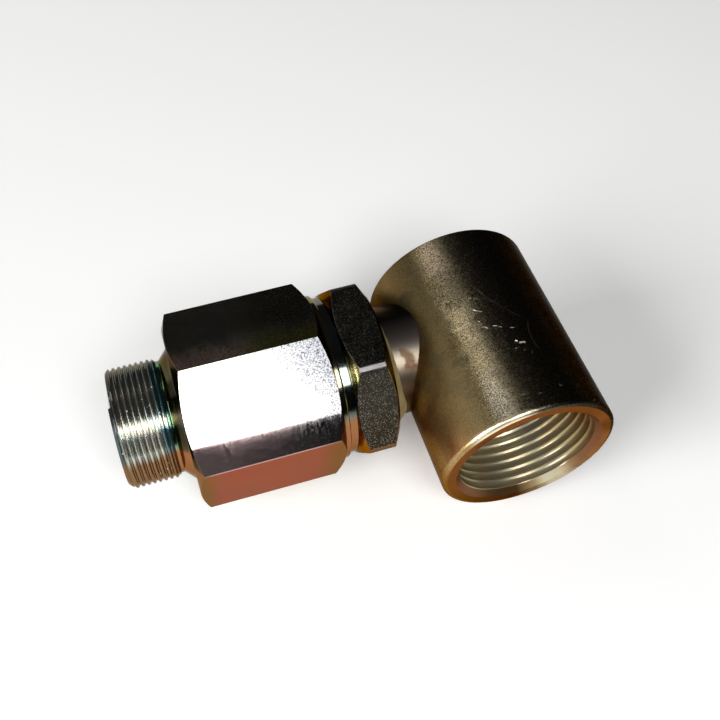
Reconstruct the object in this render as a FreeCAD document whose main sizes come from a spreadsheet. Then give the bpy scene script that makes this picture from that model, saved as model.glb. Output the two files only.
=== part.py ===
import FreeCAD, Part
import Sketcher
import math
import os
import re

# Hose reel joint: a right-angle swivel for a hose reel.
# A hexagonal housing with a male threaded spigot holds a hollow stem, which turns on a ring of
# balls behind a gland nut and screws into a round cross barrel with a female pipe thread.
# Lengths are in millimetres and angles in degrees.
# Stations run along the swivel axis from the spigot's end face.
# The part's own origin is the middle of the spigot's thread, with +X towards the barrel.

SIZES = {
    # spigot, the male threaded end of the housing
    "spigotThreadRadius": 14.29,
    "spigotThreadLength": 11.4,
    "spigotEndChamfer": 1.2,
    "reliefDepth": 0.89,
    "reliefLength": 1.6,
    "shoulderStep": 1.51,
    "shoulderConeLength": 2.3,
    # flow passage through all pieces
    "flowRadius": 8.0,
    "flowMouthChamfer": 1.0,
    # hexagonal housing
    "bodyStep": 0.499,
    "bodyLength": 34.65,
    "bodyTurn": 10.5,
    "bodyFaceStep": 0.3,
    "spigotSideAngle": 24.0,
    "chamferAngle": 30.0,
    "bossRound": 0.9,
    "bossLength": 0.4,
    "neckWall": 1.1,
    "neckLength": 1.9,
    # inside of the housing
    "floorThickness": 2.0,
    "noseClearance": 0.6,
    "sealLead": 2.0,
    "sealGrooveWidth": 3.9,
    "sealLand": 1.0,
    "rearBushLength": 5.2,
    "rearBushWall": 1.7,
    "chamberClearance": 0.32,
    "glandThreadDepth": 0.8,
    # stem
    "stemRadius": 13.5,
    "noseWall": 3.0,
    "collarStep": 2.4,
    "collarLength": 4.5,
    "tailWall": 3.0,
    "tailLength": 7.6,
    "tailChamfer": 0.8,
    # ball race
    "ballDiameter": 4.762,
    "ballOffset": 1.0,
    "ballGap": 0.05,
    "trackClearance": 0.05,
    "raceGap": 2.6,
    "raceThickness": 3.2,
    "raceFit": 0.3,
    # thrust washer behind the collar
    "washerThickness": 1.4,
    "thrustPlay": 0.1,
    # gland nut
    "nutStep": 1.499,
    "nutLength": 10.2,
    "nutTurn": 34.0,
    "nutCornerCut": 0.42,
    "nutInnerFaceStep": 0.7,
    "nutOuterFaceStep": 0.9,
    "undercutDepth": 1.1,
    "undercutWidth": 2.2,
    "frontBushWall": 1.22,
    "nutLandLength": 3.8,
    "nutLandClearance": 0.25,
    # wiper ring
    "wiperDepth": 5.6,
    "wiperWall": 3.0,
    "wiperReach": 2.7,
    "wiperLipWall": 0.45,
    "wiperLipLength": 2.2,
    "wiperHeelClearance": 0.7,
    # seals
    "sealRingWall": 1.2,
    "sealRingSideGap": 0.15,
    "sealCordDepth": 2.18,
    "stemSealDepth": 1.9,
    "stemSealWidth": 2.1,
    "runningClearance": 0.02,
    "sealSqueeze": 0.04,
    # cross barrel
    "stemReach": 4.55,
    "mouthReach": 34.5,
    "farReach": 17.85,
    "mouthRound": 1.0,
    "farRound": 0.8,
    "portRadius": 16.0,
    "portWall": 4.75,
    "portChamfer": 1.55,
    "portFloorWall": 2.0,
    "endWall": 7.0,
    "drillPointAngle": 59.0,
    "seatLip": 0.55,
    # how far a cutting outline reaches past the metal
    "cutMargin": 1.0,
}

# Places worked out from the driving sizes
DERIVED = {
    "threadCentre": "(spigotEndChamfer + spigotThreadLength) / 2",
    "reliefRadius": "spigotThreadRadius - reliefDepth",
    "reliefEnd": "spigotThreadLength + reliefLength",
    "shoulderConeRadius": "spigotThreadRadius + shoulderStep",
    "bodyStart": "reliefEnd + shoulderConeLength",
    "bodyEnd": "bodyStart + bodyLength",
    "ballCircleRadius": "stemRadius + ballOffset",
    "chamberRadius": "ballCircleRadius + ballDiameter / 2 + chamberClearance",
    "glandThreadRadius": "chamberRadius + glandThreadDepth",
    "neckRadius": "glandThreadRadius + neckWall",
    "bossRadius": "neckRadius + bossRound",
    "bodyFlats": "2 * (bossRadius + bodyStep)",
    "bodyFaceRadius": "bodyFlats / 2 - bodyFaceStep",
    "bodyCorner": "bodyFlats / sqrt(3) + cutMargin",
    "bossEnd": "bodyEnd + bossLength",
    "neckEnd": "bossEnd + bossRound + neckLength",
    "noseFloor": "bodyStart + floorThickness",
    "noseEnd": "noseFloor + noseClearance",
    "noseRadius": "flowRadius + noseWall",
    "noseFit": "noseRadius + runningClearance",
    "noseHole": "noseRadius + trackClearance",
    "sealStart": "noseFloor + sealLead",
    "sealEnd": "sealStart + sealGrooveWidth",
    "sealRingRadius": "noseFit + sealRingWall",
    "sealGrooveRadius": "sealRingRadius + sealCordDepth",
    "rearBushStart": "sealEnd + sealLand",
    "chamberFloor": "rearBushStart + rearBushLength",
    "rearBushRadius": "noseFit + rearBushWall",
    "washerEnd": "chamberFloor + washerThickness",
    "collarRadius": "stemRadius + collarStep",
    "collarStart": "washerEnd + thrustPlay",
    "collarEnd": "collarStart + collarLength",
    "trackRadius": "ballDiameter / 2 + trackClearance",
    "ballStation": "collarEnd + raceGap / 2",
    "raceStart": "collarEnd + raceGap",
    "raceEnd": "raceStart + raceThickness",
    "undercutRadius": "glandThreadRadius - undercutDepth",
    "nutEnd": "neckEnd + nutLength",
    "nutFlats": "2 * (glandThreadRadius + nutStep)",
    "nutInnerFaceRadius": "nutFlats / 2 - nutInnerFaceStep",
    "nutOuterFaceRadius": "nutFlats / 2 - nutOuterFaceStep",
    "nutCornerRadius": "nutFlats / sqrt(3) - nutCornerCut",
    "nutCorner": "nutFlats / sqrt(3) + cutMargin",
    "stemHole": "stemRadius + nutLandClearance",
    "stemFit": "stemRadius + runningClearance",
    "wiperStart": "nutEnd - wiperDepth",
    "wiperEnd": "nutEnd + wiperReach",
    "wiperOuterRadius": "stemRadius + wiperWall",
    "frontBushEnd": "wiperStart - nutLandLength",
    "frontBushRadius": "stemFit + frontBushWall",
    "barrelRadius": "portRadius + portWall",
    "crossStation": "nutEnd + stemReach + barrelRadius",
    "seatOffset": "sqrt(barrelRadius ^ 2 - stemRadius ^ 2) - seatLip",
    "seatStation": "crossStation - seatOffset",
    "tailRadius": "flowRadius + tailWall",
    "tailReach": "seatOffset - tailLength",
    "tailEnd": "crossStation - tailReach",
    "stemSealRadius": "tailRadius + stemSealDepth",
    "portChamferRadius": "portRadius + portChamfer",
    "portBottom": "stemFit + portFloorWall",
    "passageReach": "farReach - endWall - flowRadius / tan(drillPointAngle)",
}

doc = FreeCAD.newDocument("HoseReelJoint")
sheet = doc.addObject("Spreadsheet::Sheet", "Sizes")


def fillSheet():
    row = 1
    for name, value in SIZES.items():
        sheet.set("A%d" % row, name)
        sheet.set("B%d" % row, str(value))
        sheet.setAlias("B%d" % row, name)
        row += 1
    for name, formula in DERIVED.items():
        sheet.set("A%d" % row, name)
        sheet.set("B%d" % row, "=" + formula)
        sheet.setAlias("B%d" % row, name)
        row += 1
    doc.recompute()


def size(name):
    return float(getattr(sheet, name))


def ref(text):
    """Put the sheet's name before each size named in an expression."""
    def full(match):
        word = match.group()
        return "Sizes." + word if word in SIZES or word in DERIVED else word
    return re.sub(r"[A-Za-z]\w*", full, text)


def newBody(label):
    body = doc.addObject("PartDesign::Body", label)
    body.Label = label
    return body


def plane(body, role):
    for feature in body.Origin.OriginFeatures:
        if feature.Role == role:
            return feature


def newSketch(body, name, role):
    sketch = body.newObject("Sketcher::SketchObject", name)
    sketch.AttachmentSupport = [(plane(body, role), "")]
    sketch.MapMode = "FlatFace"
    return sketch


def bind(sketch, kind, geometry, point, text):
    """Tie one coordinate of a sketch point to an expression."""
    value = float(sketch.evalExpression(ref(text)))
    index = sketch.addConstraint(Sketcher.Constraint(kind, -1, 1, geometry, point, value))
    sketch.setExpression("Constraints[%d]" % index, ref(text))


def arcThrough(start, end, radius, side):
    """A round stretch from start to end; side is 1 with its centre on the left, -1 on the right."""
    chord = end - start
    middle = (start + end) * 0.5
    left = FreeCAD.Vector(-chord.y, chord.x, 0).normalize()
    rise = math.sqrt(max(radius * radius - chord.Length * chord.Length / 4, 0))
    centre = middle + left * (rise * side)
    crown = centre - left * (radius * side)
    return Part.ArcOfCircle(start, crown, end)


def outline(body, name, role, corners):
    """A closed outline. Each corner is (x, y), or (x, y, radius, side) where a round starts."""
    sketch = newSketch(body, name, role)
    places = []
    for corner in corners:
        x = float(sketch.evalExpression(ref(corner[0])))
        y = float(sketch.evalExpression(ref(corner[1])))
        places.append(FreeCAD.Vector(x, y, 0))
    ends = []
    for i, corner in enumerate(corners):
        start = places[i]
        end = places[(i + 1) % len(corners)]
        if len(corner) == 4:
            radius = float(sketch.evalExpression(ref(corner[2])))
            index = sketch.addGeometry(arcThrough(start, end, radius, corner[3]), False)
            first = sketch.getPoint(index, 1)
            ends.append((1, 2) if (first - start).Length < (first - end).Length else (2, 1))
        else:
            index = sketch.addGeometry(Part.LineSegment(start, end), False)
            ends.append((1, 2))
    for i, corner in enumerate(corners):
        after = (i + 1) % len(corners)
        sketch.addConstraint(Sketcher.Constraint("Coincident", i, ends[i][1], after, ends[after][0]))
    for i, corner in enumerate(corners):
        bind(sketch, "DistanceX", i, ends[i][0], corner[0])
        bind(sketch, "DistanceY", i, ends[i][0], corner[1])
        if len(corner) == 4:
            radius = float(sketch.evalExpression(ref(corner[2])))
            index = sketch.addConstraint(Sketcher.Constraint("Radius", i, radius))
            sketch.setExpression("Constraints[%d]" % index, ref(corner[2]))
    return sketch


def disc(body, name, role, x, y, radius):
    """A circle placed in a sketch by expressions."""
    sketch = newSketch(body, name, role)
    centre = FreeCAD.Vector(float(sketch.evalExpression(ref(x))), float(sketch.evalExpression(ref(y))), 0)
    value = float(sketch.evalExpression(ref(radius)))
    sketch.addGeometry(Part.Circle(centre, FreeCAD.Vector(0, 0, 1), value), False)
    bind(sketch, "DistanceX", 0, 3, x)
    bind(sketch, "DistanceY", 0, 3, y)
    index = sketch.addConstraint(Sketcher.Constraint("Radius", 0, value))
    sketch.setExpression("Constraints[%d]" % index, ref(radius))
    return sketch


def turn(body, kind, name, sketch, axis):
    """Revolve a sketch about its own H_Axis or V_Axis, adding or cutting."""
    feature = body.newObject("PartDesign::" + kind, name)
    feature.Profile = sketch
    feature.ReferenceAxis = (sketch, [axis])
    feature.Angle = 360.0
    body.Tip = feature
    return feature


def hexagon(body, name, flats, start, angle):
    """A regular hexagon square to the swivel axis, with one corner up before it is turned."""
    sketch = newSketch(body, name, "YZ_Plane")
    high = flats + " / sqrt(3)"
    half = flats + " / sqrt(3) / 2"
    side = flats + " / 2"
    corners = [("0", high), ("-" + side, half), ("-" + side, "-" + half),
               ("0", "-" + high), (side, "-" + half), (side, half)]
    places = []
    for x, y in corners:
        places.append(FreeCAD.Vector(float(sketch.evalExpression(ref(x))),
                                     float(sketch.evalExpression(ref(y))), 0))
    for i in range(6):
        sketch.addGeometry(Part.LineSegment(places[i], places[(i + 1) % 6]), False)
    for i in range(6):
        sketch.addConstraint(Sketcher.Constraint("Coincident", i, 2, (i + 1) % 6, 1))
    for i, corner in enumerate(corners):
        bind(sketch, "DistanceX", i, 1, corner[0])
        bind(sketch, "DistanceY", i, 1, corner[1])
    sketch.AttachmentOffset = FreeCAD.Placement(FreeCAD.Vector(0, 0, 1),
                                                FreeCAD.Rotation(FreeCAD.Vector(0, 0, 1), size(angle)))
    sketch.setExpression("AttachmentOffset.Base.z", ref(start))
    sketch.setExpression("AttachmentOffset.Rotation.Angle", ref(angle))
    return sketch


def pad(body, name, sketch, length):
    feature = body.newObject("PartDesign::Pad", name)
    feature.Profile = sketch
    feature.setExpression("Length", ref(length))
    body.Tip = feature
    return feature


def setAlong(piece, station):
    """Place a piece so that its local zero lies at a station, from the spigot's thread centre."""
    piece.setExpression("Placement.Base.x", ref(station + " - threadCentre"))


def makeHousing():
    body = newBody("hex_body")
    turned = outline(body, "TurnedOutline", "XZ_Plane", [
        ("0", "0"),
        ("0", "spigotThreadRadius - spigotEndChamfer"),
        ("spigotEndChamfer", "spigotThreadRadius"),
        ("spigotThreadLength", "spigotThreadRadius"),
        ("spigotThreadLength + (spigotThreadRadius - reliefRadius)", "reliefRadius"),
        ("reliefEnd", "reliefRadius"),
        ("bodyStart", "shoulderConeRadius"),
        ("bodyStart", "bossRadius"),
        ("bossEnd", "bossRadius", "bossRound", -1),
        ("bossEnd + bossRound", "neckRadius"),
        ("neckEnd", "neckRadius"),
        ("neckEnd", "0"),
    ])
    turn(body, "Revolution", "TurnedBody", turned, "H_Axis")
    pad(body, "HexagonBar", hexagon(body, "HexagonOutline", "bodyFlats", "bodyStart", "bodyTurn"), "bodyLength")
    left = outline(body, "SpigotSideChamfer", "XZ_Plane", [
        ("bodyStart", "bodyFaceRadius"),
        ("bodyStart", "bodyCorner"),
        ("bodyStart + (bodyCorner - bodyFaceRadius) * tan(spigotSideAngle)", "bodyCorner"),
    ])
    turn(body, "Groove", "SpigotSideChamferCut", left, "H_Axis")
    right = outline(body, "NutSideChamfer", "XZ_Plane", [
        ("bodyEnd", "bodyFaceRadius"),
        ("bodyEnd - (bodyCorner - bodyFaceRadius) * tan(chamferAngle)", "bodyCorner"),
        ("bodyEnd", "bodyCorner"),
    ])
    turn(body, "Groove", "NutSideChamferCut", right, "H_Axis")
    bore = outline(body, "BoreOutline", "XZ_Plane", [
        ("0", "0"),
        ("neckEnd", "0"),
        ("neckEnd", "glandThreadRadius"),
        ("raceEnd", "glandThreadRadius"),
        ("raceEnd", "chamberRadius"),
        ("chamberFloor", "chamberRadius"),
        ("chamberFloor", "rearBushRadius"),
        ("rearBushStart", "rearBushRadius"),
        ("rearBushStart", "noseHole"),
        ("sealEnd", "noseHole"),
        ("sealEnd", "sealGrooveRadius"),
        ("sealStart", "sealGrooveRadius"),
        ("sealStart", "noseHole"),
        ("noseFloor", "noseHole"),
        ("noseFloor", "flowRadius"),
        ("flowMouthChamfer", "flowRadius"),
        ("0", "flowRadius + flowMouthChamfer"),
    ])
    turn(body, "Groove", "BoreCut", bore, "H_Axis")
    setAlong(body, "0")
    return body


def makeGlandNut():
    body = newBody("gland_nut")
    turned = outline(body, "ShankOutline", "XZ_Plane", [
        ("raceEnd", "0"),
        ("raceEnd", "glandThreadRadius"),
        ("neckEnd - undercutWidth", "glandThreadRadius"),
        ("neckEnd - undercutWidth", "undercutRadius"),
        ("neckEnd", "undercutRadius"),
        ("neckEnd", "0"),
    ])
    turn(body, "Revolution", "ThreadedShank", turned, "H_Axis")
    pad(body, "HexagonBar", hexagon(body, "HexagonOutline", "nutFlats", "neckEnd", "nutTurn"), "nutLength")
    envelope = outline(body, "CornerOutline", "XZ_Plane", [
        ("neckEnd", "nutInnerFaceRadius"),
        ("neckEnd", "nutCorner"),
        ("nutEnd", "nutCorner"),
        ("nutEnd", "nutOuterFaceRadius"),
        ("nutEnd - (nutCornerRadius - nutOuterFaceRadius) * tan(chamferAngle)", "nutCornerRadius"),
        ("neckEnd + (nutCornerRadius - nutInnerFaceRadius) * tan(chamferAngle)", "nutCornerRadius"),
    ])
    turn(body, "Groove", "CornerCut", envelope, "H_Axis")
    bore = outline(body, "BoreOutline", "XZ_Plane", [
        ("raceEnd", "0"),
        ("nutEnd", "0"),
        ("nutEnd", "wiperOuterRadius"),
        ("wiperStart", "wiperOuterRadius"),
        ("wiperStart", "stemHole"),
        ("frontBushEnd", "stemHole"),
        ("frontBushEnd", "frontBushRadius"),
        ("raceEnd", "frontBushRadius"),
    ])
    turn(body, "Groove", "BoreCut", bore, "H_Axis")
    setAlong(body, "0")
    return body


def makeRing(label, start, end, inner, outer):
    """A plain ring between two stations."""
    body = newBody(label)
    sketch = outline(body, "RingOutline", "XZ_Plane", [
        (start, inner),
        (start, outer),
        (end, outer),
        (end, inner),
    ])
    turn(body, "Revolution", "Ring", sketch, "H_Axis")
    setAlong(body, "0")
    return body


def makeFrontRace():
    body = newBody("front_race")
    sketch = outline(body, "RingOutline", "XZ_Plane", [
        ("raceStart", "stemHole"),
        ("raceStart", "chamberRadius - raceFit"),
        ("raceEnd", "chamberRadius - raceFit"),
        ("raceEnd", "stemHole"),
    ])
    turn(body, "Revolution", "Ring", sketch, "H_Axis")
    track = disc(body, "TrackOutline", "XZ_Plane", "ballStation", "ballCircleRadius", "trackRadius")
    turn(body, "Groove", "Track", track, "H_Axis")
    setAlong(body, "0")
    return body


def makeStem():
    body = newBody("stem")
    turned = outline(body, "StemOutline", "XZ_Plane", [
        ("noseEnd", "flowRadius"),
        ("noseEnd", "noseRadius - tailChamfer"),
        ("noseEnd + tailChamfer", "noseRadius"),
        ("collarStart", "noseRadius"),
        ("collarStart", "collarRadius"),
        ("collarEnd", "collarRadius"),
        ("collarEnd", "stemRadius"),
        ("seatStation", "stemRadius"),
        ("seatStation", "tailRadius"),
        ("tailEnd - tailChamfer", "tailRadius"),
        ("tailEnd", "tailRadius - tailChamfer"),
        ("tailEnd", "flowRadius"),
    ])
    turn(body, "Revolution", "TurnedStem", turned, "H_Axis")
    track = disc(body, "TrackOutline", "XZ_Plane", "ballStation", "ballCircleRadius", "trackRadius")
    turn(body, "Groove", "Track", track, "H_Axis")
    setAlong(body, "0")
    return body


def makeWiper():
    body = newBody("wiper_ring")
    sketch = outline(body, "WiperOutline", "XZ_Plane", [
        ("wiperStart", "stemRadius + wiperHeelClearance"),
        ("wiperStart", "wiperOuterRadius"),
        ("nutEnd", "wiperOuterRadius"),
        ("wiperEnd", "stemFit + wiperLipWall"),
        ("wiperEnd", "stemFit"),
        ("wiperEnd - wiperLipLength", "stemFit"),
        ("wiperEnd - 2 * wiperLipLength", "stemRadius + wiperHeelClearance"),
    ])
    turn(body, "Revolution", "Wiper", sketch, "H_Axis")
    setAlong(body, "0")
    return body


def makeORing(label, station, inner, outer):
    """A round-section ring squeezed between an inner and an outer radius."""
    ring = doc.addObject("Part::Torus", label)
    ring.Label = label
    ring.setExpression("Radius1", ref("((" + inner + ") + (" + outer + ")) / 2"))
    ring.setExpression("Radius2", ref("((" + outer + ") - (" + inner + ")) / 2 + sealSqueeze"))
    ring.Placement = FreeCAD.Placement(FreeCAD.Vector(1, 0, 0),
                                       FreeCAD.Rotation(FreeCAD.Vector(0, 1, 0), 90))
    setAlong(ring, station)
    return ring


def makeBalls():
    """A full ring of balls, as many as the ball circle holds side by side."""
    pitch = size("ballDiameter") + size("ballGap")
    count = int(math.pi / math.asin(pitch / (2 * size("ballCircleRadius"))))
    balls = []
    for i in range(count):
        label = "thrust_ball_%02d" % (i + 1)
        ball = doc.addObject("Part::Sphere", label)
        ball.Label = label
        ball.setExpression("Radius", ref("ballDiameter / 2"))
        angle = 2 * math.pi * i / count
        ball.Placement = FreeCAD.Placement(FreeCAD.Vector(1, 1, 1),
                                           FreeCAD.Rotation(FreeCAD.Vector(0, 1, 0), 90))
        setAlong(ball, "ballStation")
        ball.setExpression("Placement.Base.y", ref("ballCircleRadius * (%.9f)" % math.sin(angle)))
        ball.setExpression("Placement.Base.z", ref("ballCircleRadius * (%.9f)" % math.cos(angle)))
        balls.append(ball)
    return balls


def makeBarrel():
    body = newBody("cross_barrel")
    turned = outline(body, "BarrelOutline", "XY_Plane", [
        ("0", "farReach"),
        ("barrelRadius - farRound", "farReach", "farRound", -1),
        ("barrelRadius", "farReach - farRound"),
        ("barrelRadius", "mouthRound - mouthReach", "mouthRound", -1),
        ("barrelRadius - mouthRound", "-mouthReach"),
        ("portChamferRadius", "-mouthReach"),
        ("portRadius", "portChamferRadius - portRadius - mouthReach"),
        ("portRadius", "-portBottom"),
        ("flowRadius", "-portBottom"),
        ("flowRadius", "passageReach"),
        ("0", "passageReach + flowRadius / tan(drillPointAngle)"),
    ])
    turn(body, "Revolution", "TurnedBarrel", turned, "V_Axis")
    crossing = outline(body, "CrossHoleOutline", "XY_Plane", [
        ("-(barrelRadius + cutMargin)", "0"),
        ("-(barrelRadius + cutMargin)", "stemFit"),
        ("-seatOffset", "stemFit"),
        ("-seatOffset", "stemSealRadius"),
        ("stemSealWidth - seatOffset", "stemSealRadius"),
        ("stemSealWidth - seatOffset", "tailRadius"),
        ("-tailReach", "tailRadius"),
        ("-tailReach", "flowRadius"),
        ("0", "flowRadius"),
        ("0", "0"),
    ])
    turn(body, "Groove", "CrossHole", crossing, "H_Axis")
    setAlong(body, "crossStation")
    return body


def build():
    pieces = [
        makeHousing(),
        makeGlandNut(),
        makeRing("front_bush", "raceEnd", "frontBushEnd", "stemFit", "frontBushRadius"),
        makeFrontRace(),
        makeWiper(),
        makeRing("rear_bush", "rearBushStart", "chamberFloor", "noseFit", "rearBushRadius"),
        makeRing("thrust_washer", "chamberFloor", "washerEnd", "noseHole", "collarRadius"),
        makeRing("main_seal_ring", "sealStart + sealRingSideGap", "sealEnd - sealRingSideGap",
                 "noseFit", "sealRingRadius"),
        makeORing("main_seal_o_ring", "(sealStart + sealEnd) / 2", "sealRingRadius", "sealGrooveRadius"),
        makeStem(),
        makeBarrel(),
        makeORing("stem_o_ring", "seatStation + stemSealWidth / 2", "tailRadius", "stemSealRadius"),
    ]
    return pieces + makeBalls()


def check(pieces):
    for item in doc.Objects:
        if "Invalid" in item.State or "Error" in item.State:
            raise RuntimeError("%s failed: %s" % (item.Label, item.State))
    for piece in pieces:
        shape = piece.Shape
        if shape.isNull() or not shape.isValid() or len(shape.Solids) != 1:
            raise RuntimeError("%s isn't one sound solid" % piece.Label)


def export(pieces):
    os.makedirs("parts", exist_ok=True)
    for piece in pieces:
        piece.Shape.exportStep(os.path.join("parts", piece.Label + ".step"))
        box = piece.Shape.BoundBox
        print("%-18s volume %9.1f  x %7.2f %7.2f  y %7.2f %7.2f  z %7.2f %7.2f" % (
            piece.Label, piece.Shape.Volume, box.XMin, box.XMax, box.YMin, box.YMax, box.ZMin, box.ZMax))


fillSheet()
pieces = build()
doc.recompute()
check(pieces)
export(pieces)
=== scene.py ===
import bpy
import bmesh
import math
from mathutils import Euler, Matrix, Vector, noise


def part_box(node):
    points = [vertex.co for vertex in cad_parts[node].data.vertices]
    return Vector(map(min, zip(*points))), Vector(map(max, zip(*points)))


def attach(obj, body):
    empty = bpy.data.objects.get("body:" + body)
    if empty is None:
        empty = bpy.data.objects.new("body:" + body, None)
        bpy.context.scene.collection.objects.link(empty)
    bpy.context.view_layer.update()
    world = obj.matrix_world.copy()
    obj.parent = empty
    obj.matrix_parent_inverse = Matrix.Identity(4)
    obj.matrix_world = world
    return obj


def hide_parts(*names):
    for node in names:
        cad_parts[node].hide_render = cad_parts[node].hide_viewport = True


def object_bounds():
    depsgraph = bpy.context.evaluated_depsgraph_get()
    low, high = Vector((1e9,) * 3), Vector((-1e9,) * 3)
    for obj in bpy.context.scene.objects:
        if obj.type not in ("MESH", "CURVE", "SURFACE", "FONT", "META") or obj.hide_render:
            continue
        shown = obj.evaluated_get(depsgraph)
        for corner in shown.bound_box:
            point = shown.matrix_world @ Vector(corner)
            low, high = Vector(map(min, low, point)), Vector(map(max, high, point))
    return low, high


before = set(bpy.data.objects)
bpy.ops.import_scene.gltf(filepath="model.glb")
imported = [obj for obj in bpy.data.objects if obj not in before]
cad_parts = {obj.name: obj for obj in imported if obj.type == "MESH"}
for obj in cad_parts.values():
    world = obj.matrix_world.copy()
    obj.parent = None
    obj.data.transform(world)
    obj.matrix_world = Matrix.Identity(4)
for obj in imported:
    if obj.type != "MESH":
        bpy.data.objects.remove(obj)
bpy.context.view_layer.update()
mm = 0.001
fullTurn = 360.0
hexSide = 60  # degrees that one side of a hexagon takes
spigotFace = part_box("hex_body")[0].x  # the spigot's end face, where the stations start
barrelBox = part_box("cross_barrel")
barrelAxisX = (barrelBox[0].x + barrelBox[1].x) / 2
print("frame loaded")


# Outlines are lists of (station, radius, finish, rounding) in millimetres.
# The finish belongs to the surface that starts at the point.
def rounded(outline, closed=True, steps=3):
    points = []
    count = len(outline)
    for i, (x, r, finish, rounding) in enumerate(outline):
        inside = closed or 0 < i < count - 1
        if not rounding or not inside:
            points.append((x, r, finish))
            continue
        corner = Vector((x, r))
        back = Vector(outline[i - 1][:2]) - corner
        ahead = Vector(outline[(i + 1) % count][:2]) - corner
        half = back.angle(ahead) / 2
        longest = 0.45 * min(back.length, ahead.length)  # a rounding takes less than half of a side
        reach = min(rounding / math.tan(half), longest)
        radius = reach * math.tan(half)
        centre = corner + (back.normalized() + ahead.normalized()).normalized() * (radius / math.sin(half))
        start = corner + back.normalized() * reach - centre
        end = corner + ahead.normalized() * reach - centre
        sweep = start.angle_signed(end)
        for step in range(steps + 1):
            turned = start.copy()
            turned.rotate(Matrix.Rotation(-sweep * step / steps, 2))
            points.append((centre.x + turned.x, centre.y + turned.y, finish))
    return points


# The cylinders of a stepped bore, each named by its radius and its two ends
def boreSteps(sizes, steps, finish):
    return [(sizes[end], sizes[radius], finish, 0) for radius, *ends in steps for end in ends]


# Rows that follow a helix between two stations. Rows past either end gather there and are welded.
def threadRows(thread, share, low, high, radiusAt, finish):
    rows = []
    laps = int(math.ceil((high - low) / thread["pitch"])) + 1
    for lap in range(-1, laps):
        for part, depth in thread["shape"]:
            x = low + (lap + part + share + thread["start"]) * thread["pitch"]
            x = min(max(x, low), high)
            rows.append((x, radiusAt(x, depth * thread["depth"]), finish))
    return rows


# A mesh spun round an axis. Its outline may change with the angle, and its last column repeats the first.
def spinMesh(name, outlineAt, angles, place, materials, closed=True):
    shape = bmesh.new()
    names = list(materials)
    columns = []
    for angle, share in angles:
        outline = outlineAt(angle, share)
        columns.append([(shape.verts.new(place(x * mm, r * mm, angle)), finish) for x, r, finish in outline])
    for left, right in zip(columns, columns[1:]):
        count = len(left)
        for i in range(count if closed else count - 1):
            after = (i + 1) % count
            face = shape.faces.new((left[i][0], left[after][0], right[after][0], right[i][0]))
            face.material_index = names.index(left[i][1])
            face.smooth = True
    weld = 2e-6
    bmesh.ops.remove_doubles(shape, verts=shape.verts, dist=weld)
    bmesh.ops.dissolve_degenerate(shape, edges=shape.edges, dist=weld / 20)
    bmesh.ops.recalc_face_normals(shape, faces=shape.faces)
    mesh = bpy.data.meshes.new(name)
    shape.to_mesh(mesh)
    shape.free()
    for finish in names:
        mesh.materials.append(materials[finish])
    piece = bpy.data.objects.new(name, mesh)
    bpy.context.scene.collection.objects.link(piece)
    return piece


def aboutX(station, radius, angle):
    return Vector((spigotFace + station, -radius * math.sin(angle), radius * math.cos(angle)))


def aboutY(station, radius, angle):
    return Vector((barrelAxisX + radius * math.sin(angle), station, radius * math.cos(angle)))


def evenAngles(count):
    return [(2 * math.pi * i / count, i / count) for i in range(count + 1)]


# Angles for a hexagon: close together at its corners, even along its flats
def hexAngles(turn, cornerSpan, sideSteps, cornerSteps=4):
    angles = []
    for corner in range(0, 6 * hexSide, hexSide):
        for step in range(cornerSteps):
            angles.append(corner + cornerSpan * (2 * step / cornerSteps - 1))
        for step in range(sideSteps):
            angles.append(corner + cornerSpan + (hexSide - 2 * cornerSpan) * step / sideSteps)
    angles.append(fullTurn - cornerSpan)
    return [(math.radians(turn + angle), (angle + cornerSpan) / fullTurn) for angle in angles]


# Degrees from the nearest corner of a hexagon
def offCorner(angle, turn):
    return abs((math.degrees(angle) - turn + hexSide / 2) % hexSide - hexSide / 2)


def softenEdges(piece, sharpAngle=30):
    mesh = piece.data
    shape = bmesh.new()
    shape.from_mesh(mesh)
    for edge in shape.edges:
        edge.smooth = len(edge.link_faces) == 2 and edge.calc_face_angle(0) < math.radians(sharpAngle)
    shape.to_mesh(mesh)
    shape.free()
    weighted = piece.modifiers.new("evenNormals", "WEIGHTED_NORMAL")
    weighted.keep_sharp = True
    return piece


def cutWith(piece, cutter):
    cut = piece.modifiers.new("cut", "BOOLEAN")
    cut.operation = "DIFFERENCE"
    cut.solver = "EXACT"
    cut.object = cutter
    seen = piece.evaluated_get(bpy.context.evaluated_depsgraph_get())
    mesh = bpy.data.meshes.new_from_object(seen)
    piece.modifiers.remove(cut)
    old = piece.data
    piece.data = mesh
    bpy.data.meshes.remove(old)
    bpy.data.objects.remove(cutter)
    return piece


# Node helpers: a value is either a number or colour, or another node's output
def feed(tree, socket, value):
    if isinstance(value, bpy.types.NodeSocket):
        tree.links.new(value, socket)
    elif value is not None:
        socket.default_value = (*value, 1) if socket.type == "RGBA" and len(value) == 3 else value


def calc(tree, operation, *values, clamp=False):
    node = tree.nodes.new("ShaderNodeMath")
    node.operation = operation
    node.use_clamp = clamp
    for socket, value in zip(node.inputs, values):
        feed(tree, socket, value)
    return node.outputs[0]


def times(tree, first, *others):
    for other in others:
        first = calc(tree, "MULTIPLY", first, other)
    return first


def scaled(tree, value, factor, added):
    return calc(tree, "MULTIPLY_ADD", value, factor, added)


def opposite(tree, share):
    return calc(tree, "SUBTRACT", 1.0, share)


def strongest(tree, masks):
    result = masks[0]
    for mask in masks[1:]:
        result = calc(tree, "MAXIMUM", result, mask)
    return result


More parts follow.
